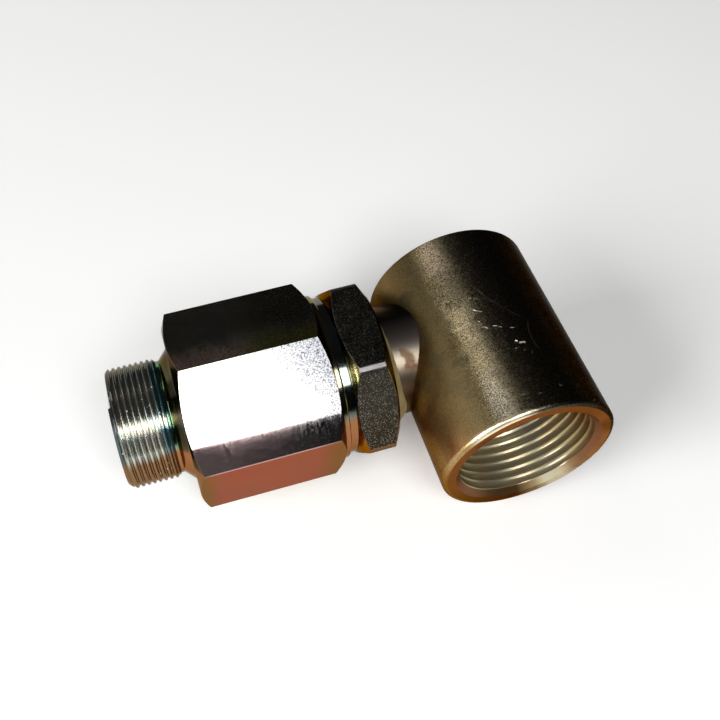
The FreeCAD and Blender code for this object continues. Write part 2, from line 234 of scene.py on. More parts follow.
def mixColour(tree, share, first, second, blend="MIX"):
    node = tree.nodes.new("ShaderNodeMix")
    node.data_type = "RGBA"
    node.blend_type = blend
    colours = [socket for socket in node.inputs if socket.type == "RGBA"]
    feed(tree, node.inputs[0], share)
    feed(tree, colours[0], first)
    feed(tree, colours[1], second)
    return [socket for socket in node.outputs if socket.type == "RGBA"][0]


def mixValue(tree, share, first, second):
    node = tree.nodes.new("ShaderNodeMix")
    for socket, value in zip(node.inputs, (share, None, first, second)):
        feed(tree, socket, value)
    return node.outputs[0]


def easeBetween(tree, value, low, high, start=0.0, end=1.0):
    node = tree.nodes.new("ShaderNodeMapRange")
    node.interpolation_type = "SMOOTHSTEP"
    for socket, given in zip(node.inputs, (value, low, high, start, end)):
        feed(tree, socket, given)
    return node.outputs[0]


def within(tree, value, rise, fall):  # 1 between two soft edges
    return times(tree, easeBetween(tree, value, *rise), easeBetween(tree, value, *fall))


def outside(tree, value, first, second):  # 1 beyond either soft edge
    return calc(tree, "ADD", easeBetween(tree, value, *first), easeBetween(tree, value, *second), clamp=True)


def cloud(tree, point, scale, detail=2.0, roughness=0.5):
    node = tree.nodes.new("ShaderNodeTexNoise")
    feed(tree, node.inputs["Vector"], point)
    feed(tree, node.inputs["Scale"], scale)
    feed(tree, node.inputs["Detail"], detail)
    feed(tree, node.inputs["Roughness"], roughness)
    return node.outputs[0]


def ramp(tree, value, stops, interpolation="LINEAR"):
    node = tree.nodes.new("ShaderNodeValToRGB")
    node.color_ramp.interpolation = interpolation
    points = node.color_ramp.elements
    points.remove(points[-1])
    points[0].position = stops[0][0]
    points[0].color = (*stops[0][1], 1)
    for position, colour in stops[1:]:
        points.new(position).color = (*colour, 1)
    feed(tree, node.inputs[0], value)
    return node.outputs[0]


def split(tree, vector):
    node = tree.nodes.new("ShaderNodeSeparateXYZ")
    feed(tree, node.inputs[0], vector)
    return node.outputs


def gather(tree, *values):
    node = tree.nodes.new("ShaderNodeCombineXYZ")
    for socket, value in zip(node.inputs, values):
        feed(tree, socket, value)
    return node.outputs[0]


def tinted(tree, colour, tint):
    return mixColour(tree, 1.0, colour, tint, "MULTIPLY")


def shaded(tree, colour, shade):
    return tinted(tree, colour, gather(tree, shade, shade, shade))


def newGroup(name, inputs, outputs):
    group = bpy.data.node_groups.new(name, "ShaderNodeTree")
    kinds = {"float": "NodeSocketFloat", "colour": "NodeSocketColor", "vector": "NodeSocketVector"}
    for label, kind in inputs.items():
        group.interface.new_socket(name=label, in_out="INPUT", socket_type=kinds[kind])
    for label, kind in outputs.items():
        group.interface.new_socket(name=label, in_out="OUTPUT", socket_type=kinds[kind])
    given = group.nodes.new("NodeGroupInput").outputs
    result = group.nodes.new("NodeGroupOutput").inputs
    return group, given, result


def use(tree, group, **inputs):
    node = tree.nodes.new("ShaderNodeGroup")
    node.node_tree = group
    for label, value in inputs.items():
        feed(tree, node.inputs[label], value)
    return node.outputs


# Shared effects
def makeAroundAxis():  # a point's millimetres along and from an axis, and its degrees round it
    group, given, result = newGroup("aroundAxis", dict.fromkeys(("along", "side", "up"), "float"),
                                    dict.fromkeys(("station", "angle", "share", "radius"), "float"))
    side, up = given["side"], given["up"]
    degrees = times(group, calc(group, "ARCTAN2", side, up), math.degrees(1))
    radius = calc(group, "SQRT", scaled(group, side, side, times(group, up, up)))
    feed(group, result["station"], calc(group, "DIVIDE", given["along"], mm))
    feed(group, result["angle"], degrees)
    feed(group, result["share"], scaled(group, degrees, 1 / fullTurn, 0.5))
    feed(group, result["radius"], calc(group, "DIVIDE", radius, mm))
    return group


def makeGrain():  # round grain of a blasted or forged surface, in millimetres, and large patches
    group, given, result = newGroup("grain", {"point": "vector", "size": "float"},
                                    dict.fromkeys(("height", "patches"), "float"))
    scale = calc(group, "DIVIDE", 1 / mm, given["size"])
    coarser = 0.06
    patchScale = times(group, scale, coarser)
    feed(group, result["height"], cloud(group, given["point"], scale, 3.0, 0.65))
    feed(group, result["patches"], cloud(group, given["point"], patchScale, 3.0, 0.6))
    return group


def makeTurnedRings():  # fine rings left by turning, broken slowly round the piece
    inputs = {"station": "float", "point": "vector", "spacing": "float"}
    group, given, result = newGroup("turnedRings", inputs, {"height": "float"})
    parts = split(group, given["point"])
    slow = 45.0
    rings = gather(group, calc(group, "DIVIDE", given["station"], given["spacing"]),
                   times(group, parts[1], slow), times(group, parts[2], slow))
    feed(group, result["height"], cloud(group, rings, 1.0, 2.5, 0.6))
    return group


def makeChromateFilm():  # the thin film's drift from gold to green, blue and purple
    inputs = {"point": "vector", "colour": "colour", "strength": "float", "size": "float"}
    group, given, result = newGroup("chromateFilm", inputs, {"colour": "colour"})
    scale = calc(group, "DIVIDE", 1 / mm, given["size"])
    drift = cloud(group, given["point"], scale, 2.0, 0.45)
    tint = ramp(group, drift, [
        (0.28, (0.72, 0.62, 1.0)), (0.38, (0.60, 0.86, 1.0)), (0.46, (0.70, 1.0, 0.72)),
        (0.54, (1.0, 0.95, 0.66)), (0.63, (1.0, 0.72, 0.55)), (0.74, (0.95, 0.62, 0.86))])
    feed(group, result["colour"], mixColour(group, given["strength"], given["colour"], tint, "MULTIPLY"))
    return group


def makeSpecks():  # scattered grains: a share of the cells, each with a soft edge
    inputs = {"point": "vector", "size": "float", "share": "float"}
    group, given, result = newGroup("specks", inputs, {"mask": "float"})
    cells = group.nodes.new("ShaderNodeTexVoronoi")
    feed(group, cells.inputs["Vector"], given["point"])
    feed(group, cells.inputs["Scale"], calc(group, "DIVIDE", 1 / mm, given["size"]))
    drawn = split(group, cells.outputs["Color"])[0]
    picked = calc(group, "GREATER_THAN", calc(group, "ADD", drawn, given["share"]), 1.0)
    edge, core = 0.55, 0.2
    dot = easeBetween(group, cells.outputs["Distance"], edge, core)
    feed(group, result["mask"], times(group, picked, dot))
    return group


def makeSpot():  # a soft round patch at a place on the unrolled surface
    labels = ("u", "v", "centreU", "centreV", "reachU", "reachV")
    group, given, result = newGroup("spot", dict.fromkeys(labels, "float"), {"mask": "float"})
    away = []
    for axis in "uv":
        centre, reach = given["centre" + axis.upper()], given["reach" + axis.upper()]
        apart = calc(group, "DIVIDE", calc(group, "SUBTRACT", given[axis], centre), reach)
        away.append(times(group, apart, apart))
    feed(group, result["mask"], easeBetween(group, calc(group, "ADD", *away), 1.0, 0.0))
    return group


def makeNick():  # one scratch or nick, straight or bent, at a place on the unrolled surface
    labels = ("u", "v", "centreU", "centreV", "turn", "length", "width", "bend")
    group, given, result = newGroup("nick", dict.fromkeys(labels, "float"), {"mask": "float"})
    left = calc(group, "SUBTRACT", given["u"], given["centreU"])
    up = calc(group, "SUBTRACT", given["v"], given["centreV"])
    turn = calc(group, "RADIANS", given["turn"])
    cosine, sine = calc(group, "COSINE", turn), calc(group, "SINE", turn)
    along = scaled(group, left, cosine, times(group, up, sine))
    across = calc(group, "SUBTRACT", times(group, up, cosine), times(group, left, sine))
    share = calc(group, "DIVIDE", along, times(group, given["length"], 0.5))
    bow = times(group, times(group, share, share), given["bend"])
    off = calc(group, "ABSOLUTE", calc(group, "ADD", across, bow))
    inWidth = easeBetween(group, calc(group, "DIVIDE", off, given["width"]), 1.0, 0.3)
    inLength = easeBetween(group, calc(group, "ABSOLUTE", share), 1.0, 0.75)
    feed(group, result["mask"], times(group, inWidth, inLength))
    return group


aroundAxis = makeAroundAxis()
grain = makeGrain()
turnedRings = makeTurnedRings()
chromateFilm = makeChromateFilm()
specks = makeSpecks()
spot = makeSpot()
nick = makeNick()
print("shared effects made")


def startMaterial(name, look):
    material = bpy.data.materials.new(name)
    material.use_nodes = True
    tree = material.node_tree
    shader = tree.nodes["Principled BSDF"]
    shader.inputs["Metallic"].default_value = look.get("metallic", 1.0)
    if "atEdge" in look:  # tints what the metal mirrors at a glancing angle
        shader.inputs["Specular Tint"].default_value = (*look["atEdge"], 1)
    point = tree.nodes.new("ShaderNodeTexCoord").outputs["Object"]
    return material, tree, shader, point


def roundX(tree, point):
    parts = split(tree, point)
    along = calc(tree, "SUBTRACT", parts[0], spigotFace)
    return use(tree, aroundAxis, along=along, side=times(tree, parts[1], -1.0), up=parts[2])


def roundY(tree, point):
    parts = split(tree, point)
    side = calc(tree, "SUBTRACT", parts[0], barrelAxisX)
    return use(tree, aroundAxis, along=parts[1], side=side, up=parts[2])


def angleStops(stops):  # degrees from -180 to 180 to a ramp's positions
    return [(angle / fullTurn + 0.5, colour) for angle, colour in stops]


def angleRamp(tree, place, stops, interpolation="LINEAR"):
    return ramp(tree, place["share"], angleStops(stops), interpolation)


def filmOver(tree, point, colour, look):
    return use(tree, chromateFilm, point=point, colour=colour, strength=look["filmStrength"],
               size=look["filmSize"])["colour"]


def ringHeight(tree, station, point, look):
    return use(tree, turnedRings, station=station, point=point, spacing=look["ringSpacing"])["height"]


def uneven(tree, patches, look):  # roughness that varies in patches about the look's own
    spread = look["unevenness"]
    return scaled(tree, patches, spread, look["roughness"] - spread / 2)


def bumped(tree, shader, height):  # heights in millimetres
    bump = tree.nodes.new("ShaderNodeBump")
    bump.inputs["Distance"].default_value = mm
    feed(tree, bump.inputs["Height"], height)
    feed(tree, shader.inputs["Normal"], bump.outputs[0])


# A machined surface: its colour, uneven roughness, and the rings and grain of its relief
def machined(tree, shader, look, colour, station, point, grains):
    feed(tree, shader.inputs["Base Color"], colour)
    feed(tree, shader.inputs["Roughness"], uneven(tree, grains["patches"], look))
    fine = times(tree, grains["height"], look["grainDepth"])
    bumped(tree, shader, scaled(tree, ringHeight(tree, station, point, look), look["ringDepth"], fine))


# Hexagonal housing, in millimetres from the spigot's end face and from the stem's axis
housing = {
    "threadRadius": 14.29,
    "threadEnd": 11.4,
    "endChamfer": 1.2,
    "reliefRadius": 13.4,
    "reliefEnd": 13.0,
    "coneRadius": 15.8,
    "bodyStart": 15.3,
    "bodyEnd": 49.95,
    "flats": 41.0,
    "turn": 10.5,
    "faceRadius": 20.2,
    "reliefRound": 0.3,
    "edgeBreak": 0.15,
    "fineBreak": 0.1,
    "spigotSideAngle": 24,
    "nutSideAngle": 30,
    "bossRadius": 20.0,
    "bossLength": 0.4,
    "bossRound": 0.9,
    "neckRadius": 19.1,
    "neckEnd": 53.15,
    "cornerRound": 0.02,
    "edgeRound": 0.04,
    "glandThread": 18.0,
    "chamber": 17.2,
    "chamberStart": 29.4,
    "chamberEnd": 41.2,
    "bushSeat": 12.72,
    "bushStart": 24.2,
    "shaftClear": 11.05,
    "sealSeat": 14.4,
    "sealStart": 19.3,
    "sealEnd": 23.2,
    "noseFloor": 17.3,
    "flow": 8.0,
    "flowChamfer": 1.0,
}
spigotThread = {
    "pitch": 1.333,
    "depth": 0.52,
    "start": 0.5,
    "shape": [(0.0, 1.0), (0.07, 1.0), (0.12, 0.92), (0.35, 0.07), (0.4, 0.0), (0.6, 0.0), (0.65, 0.07),
              (0.88, 0.92), (0.93, 1.0)],
}
# Bright zinc plate with a yellow chromate film, on the hexagon's flats
flatLook = {
    "topFlat": (0.42, 0.39, 0.31),
    "frontFlat": (0.80, 0.62, 0.63),
    # the lower flat's copper is a painted warm reflection of the floor
    "lowFlatPaintedReflection": (0.41, 0.135, 0.095),
    "backFlats": (0.44, 0.35, 0.19),
    "lowEnds": (0.25, 0.165, 0.055),
    "purple": (0.66, 0.42, 0.36),
    "olive": (0.30, 0.28, 0.04),
    "worn": (0.80, 0.78, 0.72),
    "pit": (0.012, 0.013, 0.018),
    "atEdge": (0.5, 0.42, 0.38),
    "pitSize": 0.25,
    "mirror": 0.025,
    "roughness": 0.19,
    "filmStrength": 0.2,
    "filmSize": 16.0,
    "grainSize": 0.42,
    # painted shade on the front flat towards the nut
    "pittedPaintedShade": 0.13,
    "pittedTint": (0.74, 0.77, 0.79),
    "scuffDepth": 0.00005,
    "haze": 0.02,
    "spigotHaze": 0.07,
    "nutSideShade": 0.55,
    # the colour that each corner's flat takes, in the order of the angle
    "flats": ("backFlats", "backFlats", "topFlat", "frontFlat", "lowFlatPaintedReflection", "backFlats"),
    "blend": 0.1,  # degrees on either side of a corner over which a flat's own effects start
    "unevenness": 0.10,
    "fringe": (-14.0, 8.0),
    "fringeDrift": 16.0,
    "fringeShare": 0.85,
    "fringeHaze": 0.07,
    "nutSide": (26.0, 38.0),
    "spigotEnd": (20.5, 16.0),
    "nutEnd": (42.0, 48.5),
    "endShare": 0.8,
    "salt": (0.35, 0.68),
    "saltDepth": 1.3,
    "saltShade": 0.45,
    "duller": (26.0, 46.0),
    "pitsFrom": (24.0, 58.0),
    "pitsPivot": 40.0,  # the angle at which the pits' start isn't shifted
    "pitsSlant": 0.24,
    "pitShare": 0.8,
    "pitStrength": 0.96,
    "finePits": (0.50, 0.40),
    "palePitShare": 0.025,
    "palePitStrength": 0.35,
    "palePitHaze": 0.06,
    "bloomTo": (34.0, 17.0),
    "scuffs": (0.40, 0.72),
    "scuffsFrom": (17.0, 24.0),
    "scuffsAcross": 9.0,
    "scuffsDown": 260.0,
    "scuffRoughness": 0.034,
}


def makeFlatPlate():
    look = flatLook
    material, tree, shader, point = startMaterial("flatPlate", look)
    place = roundX(tree, point)
    station, angle = place["station"], place["angle"]
    top, low, blend = housing["turn"], housing["turn"] + hexSide, look["blend"]
    corners = [top - fullTurn / 2 + hexSide * k for k in range(6)]
    stops = [(-180, look["backFlats"])] + [(at, look[flat]) for at, flat in zip(corners, look["flats"])]
    colour = angleRamp(tree, place, stops, "CONSTANT")
    grains = use(tree, grain, point=point, size=look["grainSize"])
    pastTop = easeBetween(tree, angle, top - blend, top + blend)
    front = times(tree, pastTop, easeBetween(tree, angle, low + blend, low - blend))
    # the film turns purple-brown low on the top flat's spigot side, and olive on its nut side
    drift = scaled(tree, grains["patches"], look["fringeDrift"], -look["fringeDrift"] / 2)
    fringe = times(tree, easeBetween(tree, calc(tree, "ADD", angle, drift), *look["fringe"]),
                   easeBetween(tree, angle, top, top - 2 * blend))
    nutSide = easeBetween(tree, station, *look["nutSide"])
    colour = mixColour(tree, times(tree, fringe, look["fringeShare"]), colour,
                       mixColour(tree, nutSide, look["purple"], look["olive"]))
    # olive ends on the lower flat
    ends = outside(tree, station, look["spigotEnd"], look["nutEnd"])
    onLow = easeBetween(tree, angle, low - blend, low + blend)
    colour = mixColour(tree, times(tree, ends, onLow, look["endShare"]), colour, look["lowEnds"])
    colour = filmOver(tree, point, colour, look)
    # the top flat is mottled, and duller towards the nut
    salted = easeBetween(tree, grains["height"], *look["salt"])
    salted = scaled(tree, salted, look["saltDepth"], look["saltShade"])
    salted = times(tree, salted, easeBetween(tree, station, *look["duller"], 1.0, look["nutSideShade"]))
    colour = shaded(tree, colour, mixValue(tree, pastTop, salted, 1.0))
    # the front flat is nearly a mirror on the spigot side, and pitted towards the nut, where it is also
    # darkened and greyed: painted shade for its fading highlight
    towardsNut = scaled(tree, calc(tree, "SUBTRACT", look["pitsPivot"], angle), look["pitsSlant"], station)
    pitted = times(tree, easeBetween(tree, towardsNut, *look["pitsFrom"]), front)
    bare = opposite(tree, front)
    few = scaled(tree, bare, look["palePitShare"], times(tree, pitted, look["pitShare"]))
    colour = mixColour(tree, pitted, colour, look["pittedTint"])
    colour = shaded(tree, colour, calc(tree, "POWER", look["pittedPaintedShade"], pitted))
    pits = use(tree, specks, point=point, size=look["pitSize"], share=few)["mask"]
    fine = times(tree, easeBetween(tree, grains["height"], *look["finePits"]), pitted)
    frontPits = strongest(tree, [times(tree, pits, front), fine])
    colour = mixColour(tree, times(tree, frontPits, look["pitStrength"]), colour, look["pit"])
    palePits = times(tree, pits, bare)
    colour = mixColour(tree, times(tree, palePits, look["palePitStrength"]), colour, look["worn"])
    feed(tree, shader.inputs["Base Color"], colour)
    hazy = scaled(tree, palePits, look["palePitHaze"], times(tree, fringe, look["fringeHaze"]))
    bloom = easeBetween(tree, station, *look["bloomTo"], look["haze"], look["spigotHaze"])
    feed(tree, shader.inputs["Metallic"], opposite(tree, scaled(tree, front, bloom, hazy)))
    # short scuffs run down across the lower edge of the front flat's bright patch
    parts = split(tree, point)
    stretched = gather(tree, times(tree, station, look["scuffsAcross"]),
                       times(tree, parts[1], look["scuffsDown"]), times(tree, parts[2], look["scuffsDown"]))
    scratches = cloud(tree, stretched, 1.0, 1.0)
    scuffs = times(tree, easeBetween(tree, scratches, *look["scuffs"]), front,
                   easeBetween(tree, station, *look["scuffsFrom"]))
    smooth = scaled(tree, scuffs, look["scuffRoughness"], look["mirror"])
    rough = mixValue(tree, front, uneven(tree, grains["patches"], look), smooth)
    feed(tree, shader.inputs["Roughness"], rough)
    bumped(tree, shader, times(tree, scratches, look["scuffDepth"]))
    return material


# Turned faces of the housing: chamfers, neck, relief and end faces
turnedLook = {
    # from 13.2 to 49.8 the chamfers, cone and faces are painted dark, a painted shade
    "byStation": [(0.0, (0.16, 0.17, 0.16)), (1.2, (0.44, 0.42, 0.37)), (11.0, (0.40, 0.42, 0.38)),
                  (11.6, (0.24, 0.44, 0.38)), (12.1, (0.17, 0.36, 0.56)), (12.6, (0.22, 0.44, 0.24)),
                  (13.2, (0.12, 0.10, 0.045)), (14.8, (0.09, 0.07, 0.04)), (15.2, (0.14, 0.12, 0.09)),
                  (15.4, (0.07, 0.055, 0.035)), (20.0, (0.10, 0.07, 0.042)), (44.0, (0.13, 0.09, 0.04)),
                  (49.8, (0.17, 0.12, 0.055)), (50.6, (0.42, 0.37, 0.26)), (51.3, (0.40, 0.38, 0.31)),
                  (51.8, (0.26, 0.29, 0.28)), (53.0, (0.26, 0.28, 0.27))],
    "longest": 70.0,
    # a painted warm reflection of the floor on the lower front
    "paintedUnderside": (0.34, 0.15, 0.065),
    "undersideFrom": (64.0, 71.0),
    "undersideTo": (140.0, 118.0),
    # a band of painted shade between these angles
    "duskFrom": (50.0, 58.0),
    "duskTo": (140.0, 120.0),
    "dusk": 0.6,
    "duskStation": 20.0,
    # painted shade on either side of the highlight at 34 to 40 degrees, which narrows it
    "byAngle": [(-180, (1, 1, 1)), (-30, (1, 1, 1)), (10, (1, 1, 1)), (22, (0.5, 0.5, 0.55)),
                (29, (0.6, 0.6, 0.6)), (34, (1, 1, 1)), (40, (1, 1, 1)), (45, (0.4, 0.45, 0.5)),
                (58, (0.45, 0.5, 0.55)), (66, (1, 1, 1)), (180, (1, 1, 1))],
    "atEdge": (0.5, 0.46, 0.42),
    "roughness": 0.14,
    "filmStrength": 0.4,
    "filmSize": 9.0,
    "ringDepth": 0.004,
    "unevenness": 0.14,
    "ringSpacing": 0.28,
    "grainSize": 0.5,
    "grainDepth": 0.001,
}
undersideWander = {"scale": 160.0, "degrees": 12.0}


def paintedUnderside(tree, angle, point, look):  # the lower front, painted with a warm brown reflection of the floor
    span = undersideWander["degrees"]
    drift = scaled(tree, cloud(tree, point, undersideWander["scale"]), span, -span / 2)
    return within(tree, calc(tree, "ADD", angle, drift), look["undersideFrom"], look["undersideTo"])


def makeTurnedPlate(name, look):
    material, tree, shader, point = startMaterial(name, look)
    place = roundX(tree, point)
    station, angle = place["station"], place["angle"]
    along = calc(tree, "DIVIDE", station, look["longest"])
    colour = ramp(tree, along, [(at / look["longest"], shade) for at, shade in look["byStation"]])
    colour = filmOver(tree, point, tinted(tree, colour, angleRamp(tree, place, look["byAngle"])), look)
    # a band of painted shade before the painted warm underside
    band = times(tree, within(tree, angle, look["duskFrom"], look["duskTo"]),
                 easeBetween(tree, station, look["duskStation"] - 1, look["duskStation"]))
    colour = shaded(tree, colour, mixValue(tree, band, 1.0, look["dusk"]))
    colour = mixColour(tree, paintedUnderside(tree, angle, point, look), colour, look["paintedUnderside"])
    grains = use(tree, grain, point=point, size=look["grainSize"])
    machined(tree, shader, look, colour, station, point, grains)
    return material


# Rolled crests and darker roots of the male thread, with painted shade
threadLook = {
    "crest": (0.62, 0.62, 0.57),
    "shadedTopCrest": (0.40, 0.40, 0.37),
    "root": (0.44, 0.44, 0.40),
    "shadedLowRoot": (0.22, 0.22, 0.21),
    # a painted highlight brightest at 35 degrees, with painted shade above it
    "byAngle": [(-180, (1, 1, 1)), (-50, (0.6, 0.6, 0.6)), (15, (0.45, 0.45, 0.45)), (26, (0.5, 0.5, 0.5)),
                (31, (0.9, 0.9, 0.9)), (35, (1.4, 1.4, 1.4)), (39, (0.9, 0.9, 0.9)), (45, (0.95, 0.98, 1)),
                (54, (1.2, 1.22, 1.24)), (66, (1, 1, 1)), (180, (1, 1, 1))],
    "firstLap": (0.08, 0.10, 0.10),
    "lastLap": (0.12, 0.25, 0.29),
    "atEdge": (0.5, 0.45, 0.38),
    # a painted warm reflection of the floor on the lower front
    "paintedUnderside": (0.235, 0.125, 0.052),
    "undersideShare": 0.95,
    "undersideFrom": (62.0, 74.0),
    "undersideTo": (140.0, 118.0),
    "rootRadius": 13.6,
    "crestRadius": 14.2,
    "metallic": 0.86,
    "roughness": 0.2,
    "unevenness": 0.16,
    "filmStrength": 0.25,
    "filmSize": 7.0,
    "lowFrom": (40.0, 50.0),
    "topTo": (20.0, 30.0),
    "firstLapTo": (1.7, 0.9),
    "lastLapFrom": (10.0, 10.7),
    "lightAngle": 34.0,
    "besideLight": (3.0, 9.0),
    "dent": (0.85, 0.84, 0.80),
    "dentSize": 0.45,
    "dentShare": 0.015,
    "dentDulling": -0.5,
    "grainSize": 0.35,
    "grainDepth": 0.006,
}


def makeThreadPlate():
    look = threadLook
    material, tree, shader, point = startMaterial("threadPlate", look)
    place = roundX(tree, point)
    station, angle = place["station"], place["angle"]
    high = easeBetween(tree, place["radius"], look["rootRadius"], look["crestRadius"])
    # roots are painted darker on the lower side, and crests on the top: painted shade
    root = mixColour(tree, easeBetween(tree, angle, *look["lowFrom"]), look["root"], look["shadedLowRoot"])
    crest = mixColour(tree, easeBetween(tree, angle, *look["topTo"]), look["shadedTopCrest"], look["crest"])
    colour = mixColour(tree, high, root, crest)
    colour = mixColour(tree, easeBetween(tree, station, *look["firstLapTo"]), colour, look["firstLap"])
    # the relief's blue film starts on the last lap; it is left out along the highlight's angle, so the
    # highlight is painted white
    offLight = calc(tree, "ABSOLUTE", calc(tree, "SUBTRACT", angle, look["lightAngle"]))
    bluish = times(tree, easeBetween(tree, station, *look["lastLapFrom"]),
                   easeBetween(tree, offLight, *look["besideLight"]))
    colour = mixColour(tree, bluish, colour, look["lastLap"])
    colour = filmOver(tree, point, tinted(tree, colour, angleRamp(tree, place, look["byAngle"])), look)
    below = times(tree, paintedUnderside(tree, angle, point, look), look["undersideShare"])
    colour = mixColour(tree, below, colour, look["paintedUnderside"])
    dents = use(tree, specks, point=point, size=look["dentSize"], share=look["dentShare"])["mask"]
    feed(tree, shader.inputs["Base Color"], mixColour(tree, dents, colour, look["dent"]))
    feed(tree, shader.inputs["Metallic"], scaled(tree, dents, look["dentDulling"], look["metallic"]))
    grains = use(tree, grain, point=point, size=look["grainSize"])
    feed(tree, shader.inputs["Roughness"], uneven(tree, grains["patches"], look))
    bumped(tree, shader, times(tree, grains["height"], look["grainDepth"]))
    return material


# Machined steel inside the bores
boreLook = {
    "colour": (0.34, 0.30, 0.23),
    "stain": (0.13, 0.09, 0.05),
    "stains": (0.5, 0.75),
    "roughness": 0.36,
    "stainRoughness": 0.25,
    "grainSize": 0.6,
    "ringSpacing": 0.35,
    "ringDepth": 0.02,
}


def makeBoreSteel():
    look = boreLook
    material, tree, shader, point = startMaterial("boreSteel", look)
    station = roundX(tree, point)["station"]
    patches = use(tree, grain, point=point, size=look["grainSize"])["patches"]
    stained = easeBetween(tree, patches, *look["stains"])
    feed(tree, shader.inputs["Base Color"], mixColour(tree, stained, look["colour"], look["stain"]))
    feed(tree, shader.inputs["Roughness"], scaled(tree, stained, look["stainRoughness"], look["roughness"]))
    bumped(tree, shader, times(tree, ringHeight(tree, station, point, look), look["ringDepth"]))
    return material


def hexRadius(angle, turn, apothem, cornerRound):
    slope = math.radians(hexSide / 2)
    centre = (apothem - cornerRound) / math.cos(slope)
    edge = math.atan2(cornerRound * 0.5, centre + cornerRound * math.cos(slope))
    delta = math.radians(offCorner(angle, turn))
    if delta < edge:
        return centre * math.cos(delta) + math.sqrt(cornerRound ** 2 - (centre * math.sin(delta)) ** 2)
    return apothem / math.cos(slope - delta)


def housingOutline(angle, share):
    h = housing
    flat = hexRadius(angle, h["turn"], h["flats"] / 2, h["cornerRound"])
    leftCrease = h["bodyStart"] + (flat - h["faceRadius"]) * math.tan(math.radians(h["spigotSideAngle"]))
    rightCrease = h["bodyEnd"] - (flat - h["faceRadius"]) * math.tan(math.radians(h["nutSideAngle"]))
    bossEnd = h["bodyEnd"] + h["bossLength"] + h["bossRound"]
    threadOut = h["threadEnd"] + h["threadRadius"] - h["reliefRadius"]

    def radiusAt(x, depth):
        low = h["threadRadius"] - h["endChamfer"] + x
        high = h["threadRadius"] - (x - h["threadEnd"])
        return min(h["threadRadius"] - depth, low, high)

    rows = threadRows(spigotThread, share, 0, threadOut, radiusAt, "thread")
    return rows + rounded([
        (threadOut, h["reliefRadius"], "turned", 0),
        (h["reliefEnd"], h["reliefRadius"], "turned", h["reliefRound"]),
        (h["bodyStart"], h["coneRadius"], "turned", h["edgeBreak"]),
        (h["bodyStart"], h["faceRadius"], "turned", h["edgeBreak"]),
        (leftCrease, flat, "flat", h["edgeRound"]),
        (rightCrease, flat, "turned", h["edgeRound"]),
        (h["bodyEnd"], h["faceRadius"], "turned", h["fineBreak"]),
        (h["bodyEnd"], h["bossRadius"], "turned", 0),
        (bossEnd, h["bossRadius"], "turned", h["bossRound"]),
        (bossEnd, h["neckRadius"], "turned", h["fineBreak"]),
        (h["neckEnd"], h["neckRadius"], "turned", h["edgeBreak"]),
        *boreSteps(h, [
            ("glandThread", "neckEnd", "chamberEnd"),
            ("chamber", "chamberEnd", "chamberStart"),
            ("bushSeat", "chamberStart", "bushStart"),
            ("shaftClear", "bushStart", "sealEnd"),
            ("sealSeat", "sealEnd", "sealStart"),
            ("shaftClear", "sealStart", "noseFloor"),
            ("flow", "noseFloor"),
        ], "bore"),
        (h["flowChamfer"], h["flow"], "turned", 0),
        (0.0, h["flow"] + h["flowChamfer"], "turned", 0),
    ])


sideSteps = 24
slope = math.radians(hexSide / 2)
cornerEdge = math.degrees(math.atan2(housing["cornerRound"] * 0.5, housing["flats"] / 2 / math.cos(slope)))
boreSteel = makeBoreSteel()
plates = {
    "flat": makeFlatPlate(),
    "turned": makeTurnedPlate("turnedPlate", turnedLook),
    "thread": makeThreadPlate(),
    "bore": boreSteel,
}
bodyAngles = hexAngles(housing["turn"], cornerEdge, sideSteps)
hexBody = spinMesh("hexBody", housingOutline, bodyAngles, aboutX, plates)
softenEdges(hexBody)
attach(hexBody, "housing")
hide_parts("hex_body")
print("housing made")

# Gland nut
glandNut = {
    "start": 53.15,
    "end": 63.35,
    "flats": 39.0,
    "turn": 34.0,
    "cornerRadius": 22.1,
    "innerFace": 18.8,
    "outerFace": 18.6,
    "chamfer": 30,
    "edgeRound": 0.25,
    "edgeBreak": 0.15,
    "undercut": 16.9,
    "undercutEnd": 50.95,
    "threadRadius": 18.0,
    "innerEnd": 41.2,
    "bushSeat": 14.74,
    "bushEnd": 53.95,
    "land": 13.75,
    "wiperSeat": 16.5,
    "wiperStart": 57.75,
}
# Coarse, dark flats with pale grains, also painted as glints, and a narrow bright strip down each corner
nutLook = {
    "flat": (0.054, 0.050, 0.040),
    # the lower flats and strips are browner, a painted warm reflection of the floor
    "lowFlatPaintedReflection": (0.040, 0.030, 0.017),
    "strip": (0.14, 0.13, 0.132),
    "paintedLowStrip": (0.20, 0.10, 0.045),
    "speck": (0.46, 0.43, 0.36),
    "atEdge": (0.45, 0.42, 0.38),
    "speckSize": 0.20,
    "speckShare": 0.25,
    "roughness": 0.30,
    "grainSize": 0.19,
    "grainDepth": 0.055,
    "stripSpan": 2.2,
    "stripBlend": 0.4,
    "stripRelief": 0.4,
    "lowFrom": (58.0, 88.0),
    "filmStrength": 0.3,
    "filmSize": 10.0,
    "unevenness": 0.2,
    "saltPatches": (0.35, 0.65),
    "saltFrom": (0.62, 0.54),
    "saltEdge": 0.12,
    "saltShare": 0.35,
    "paleDulling": -0.12,
}


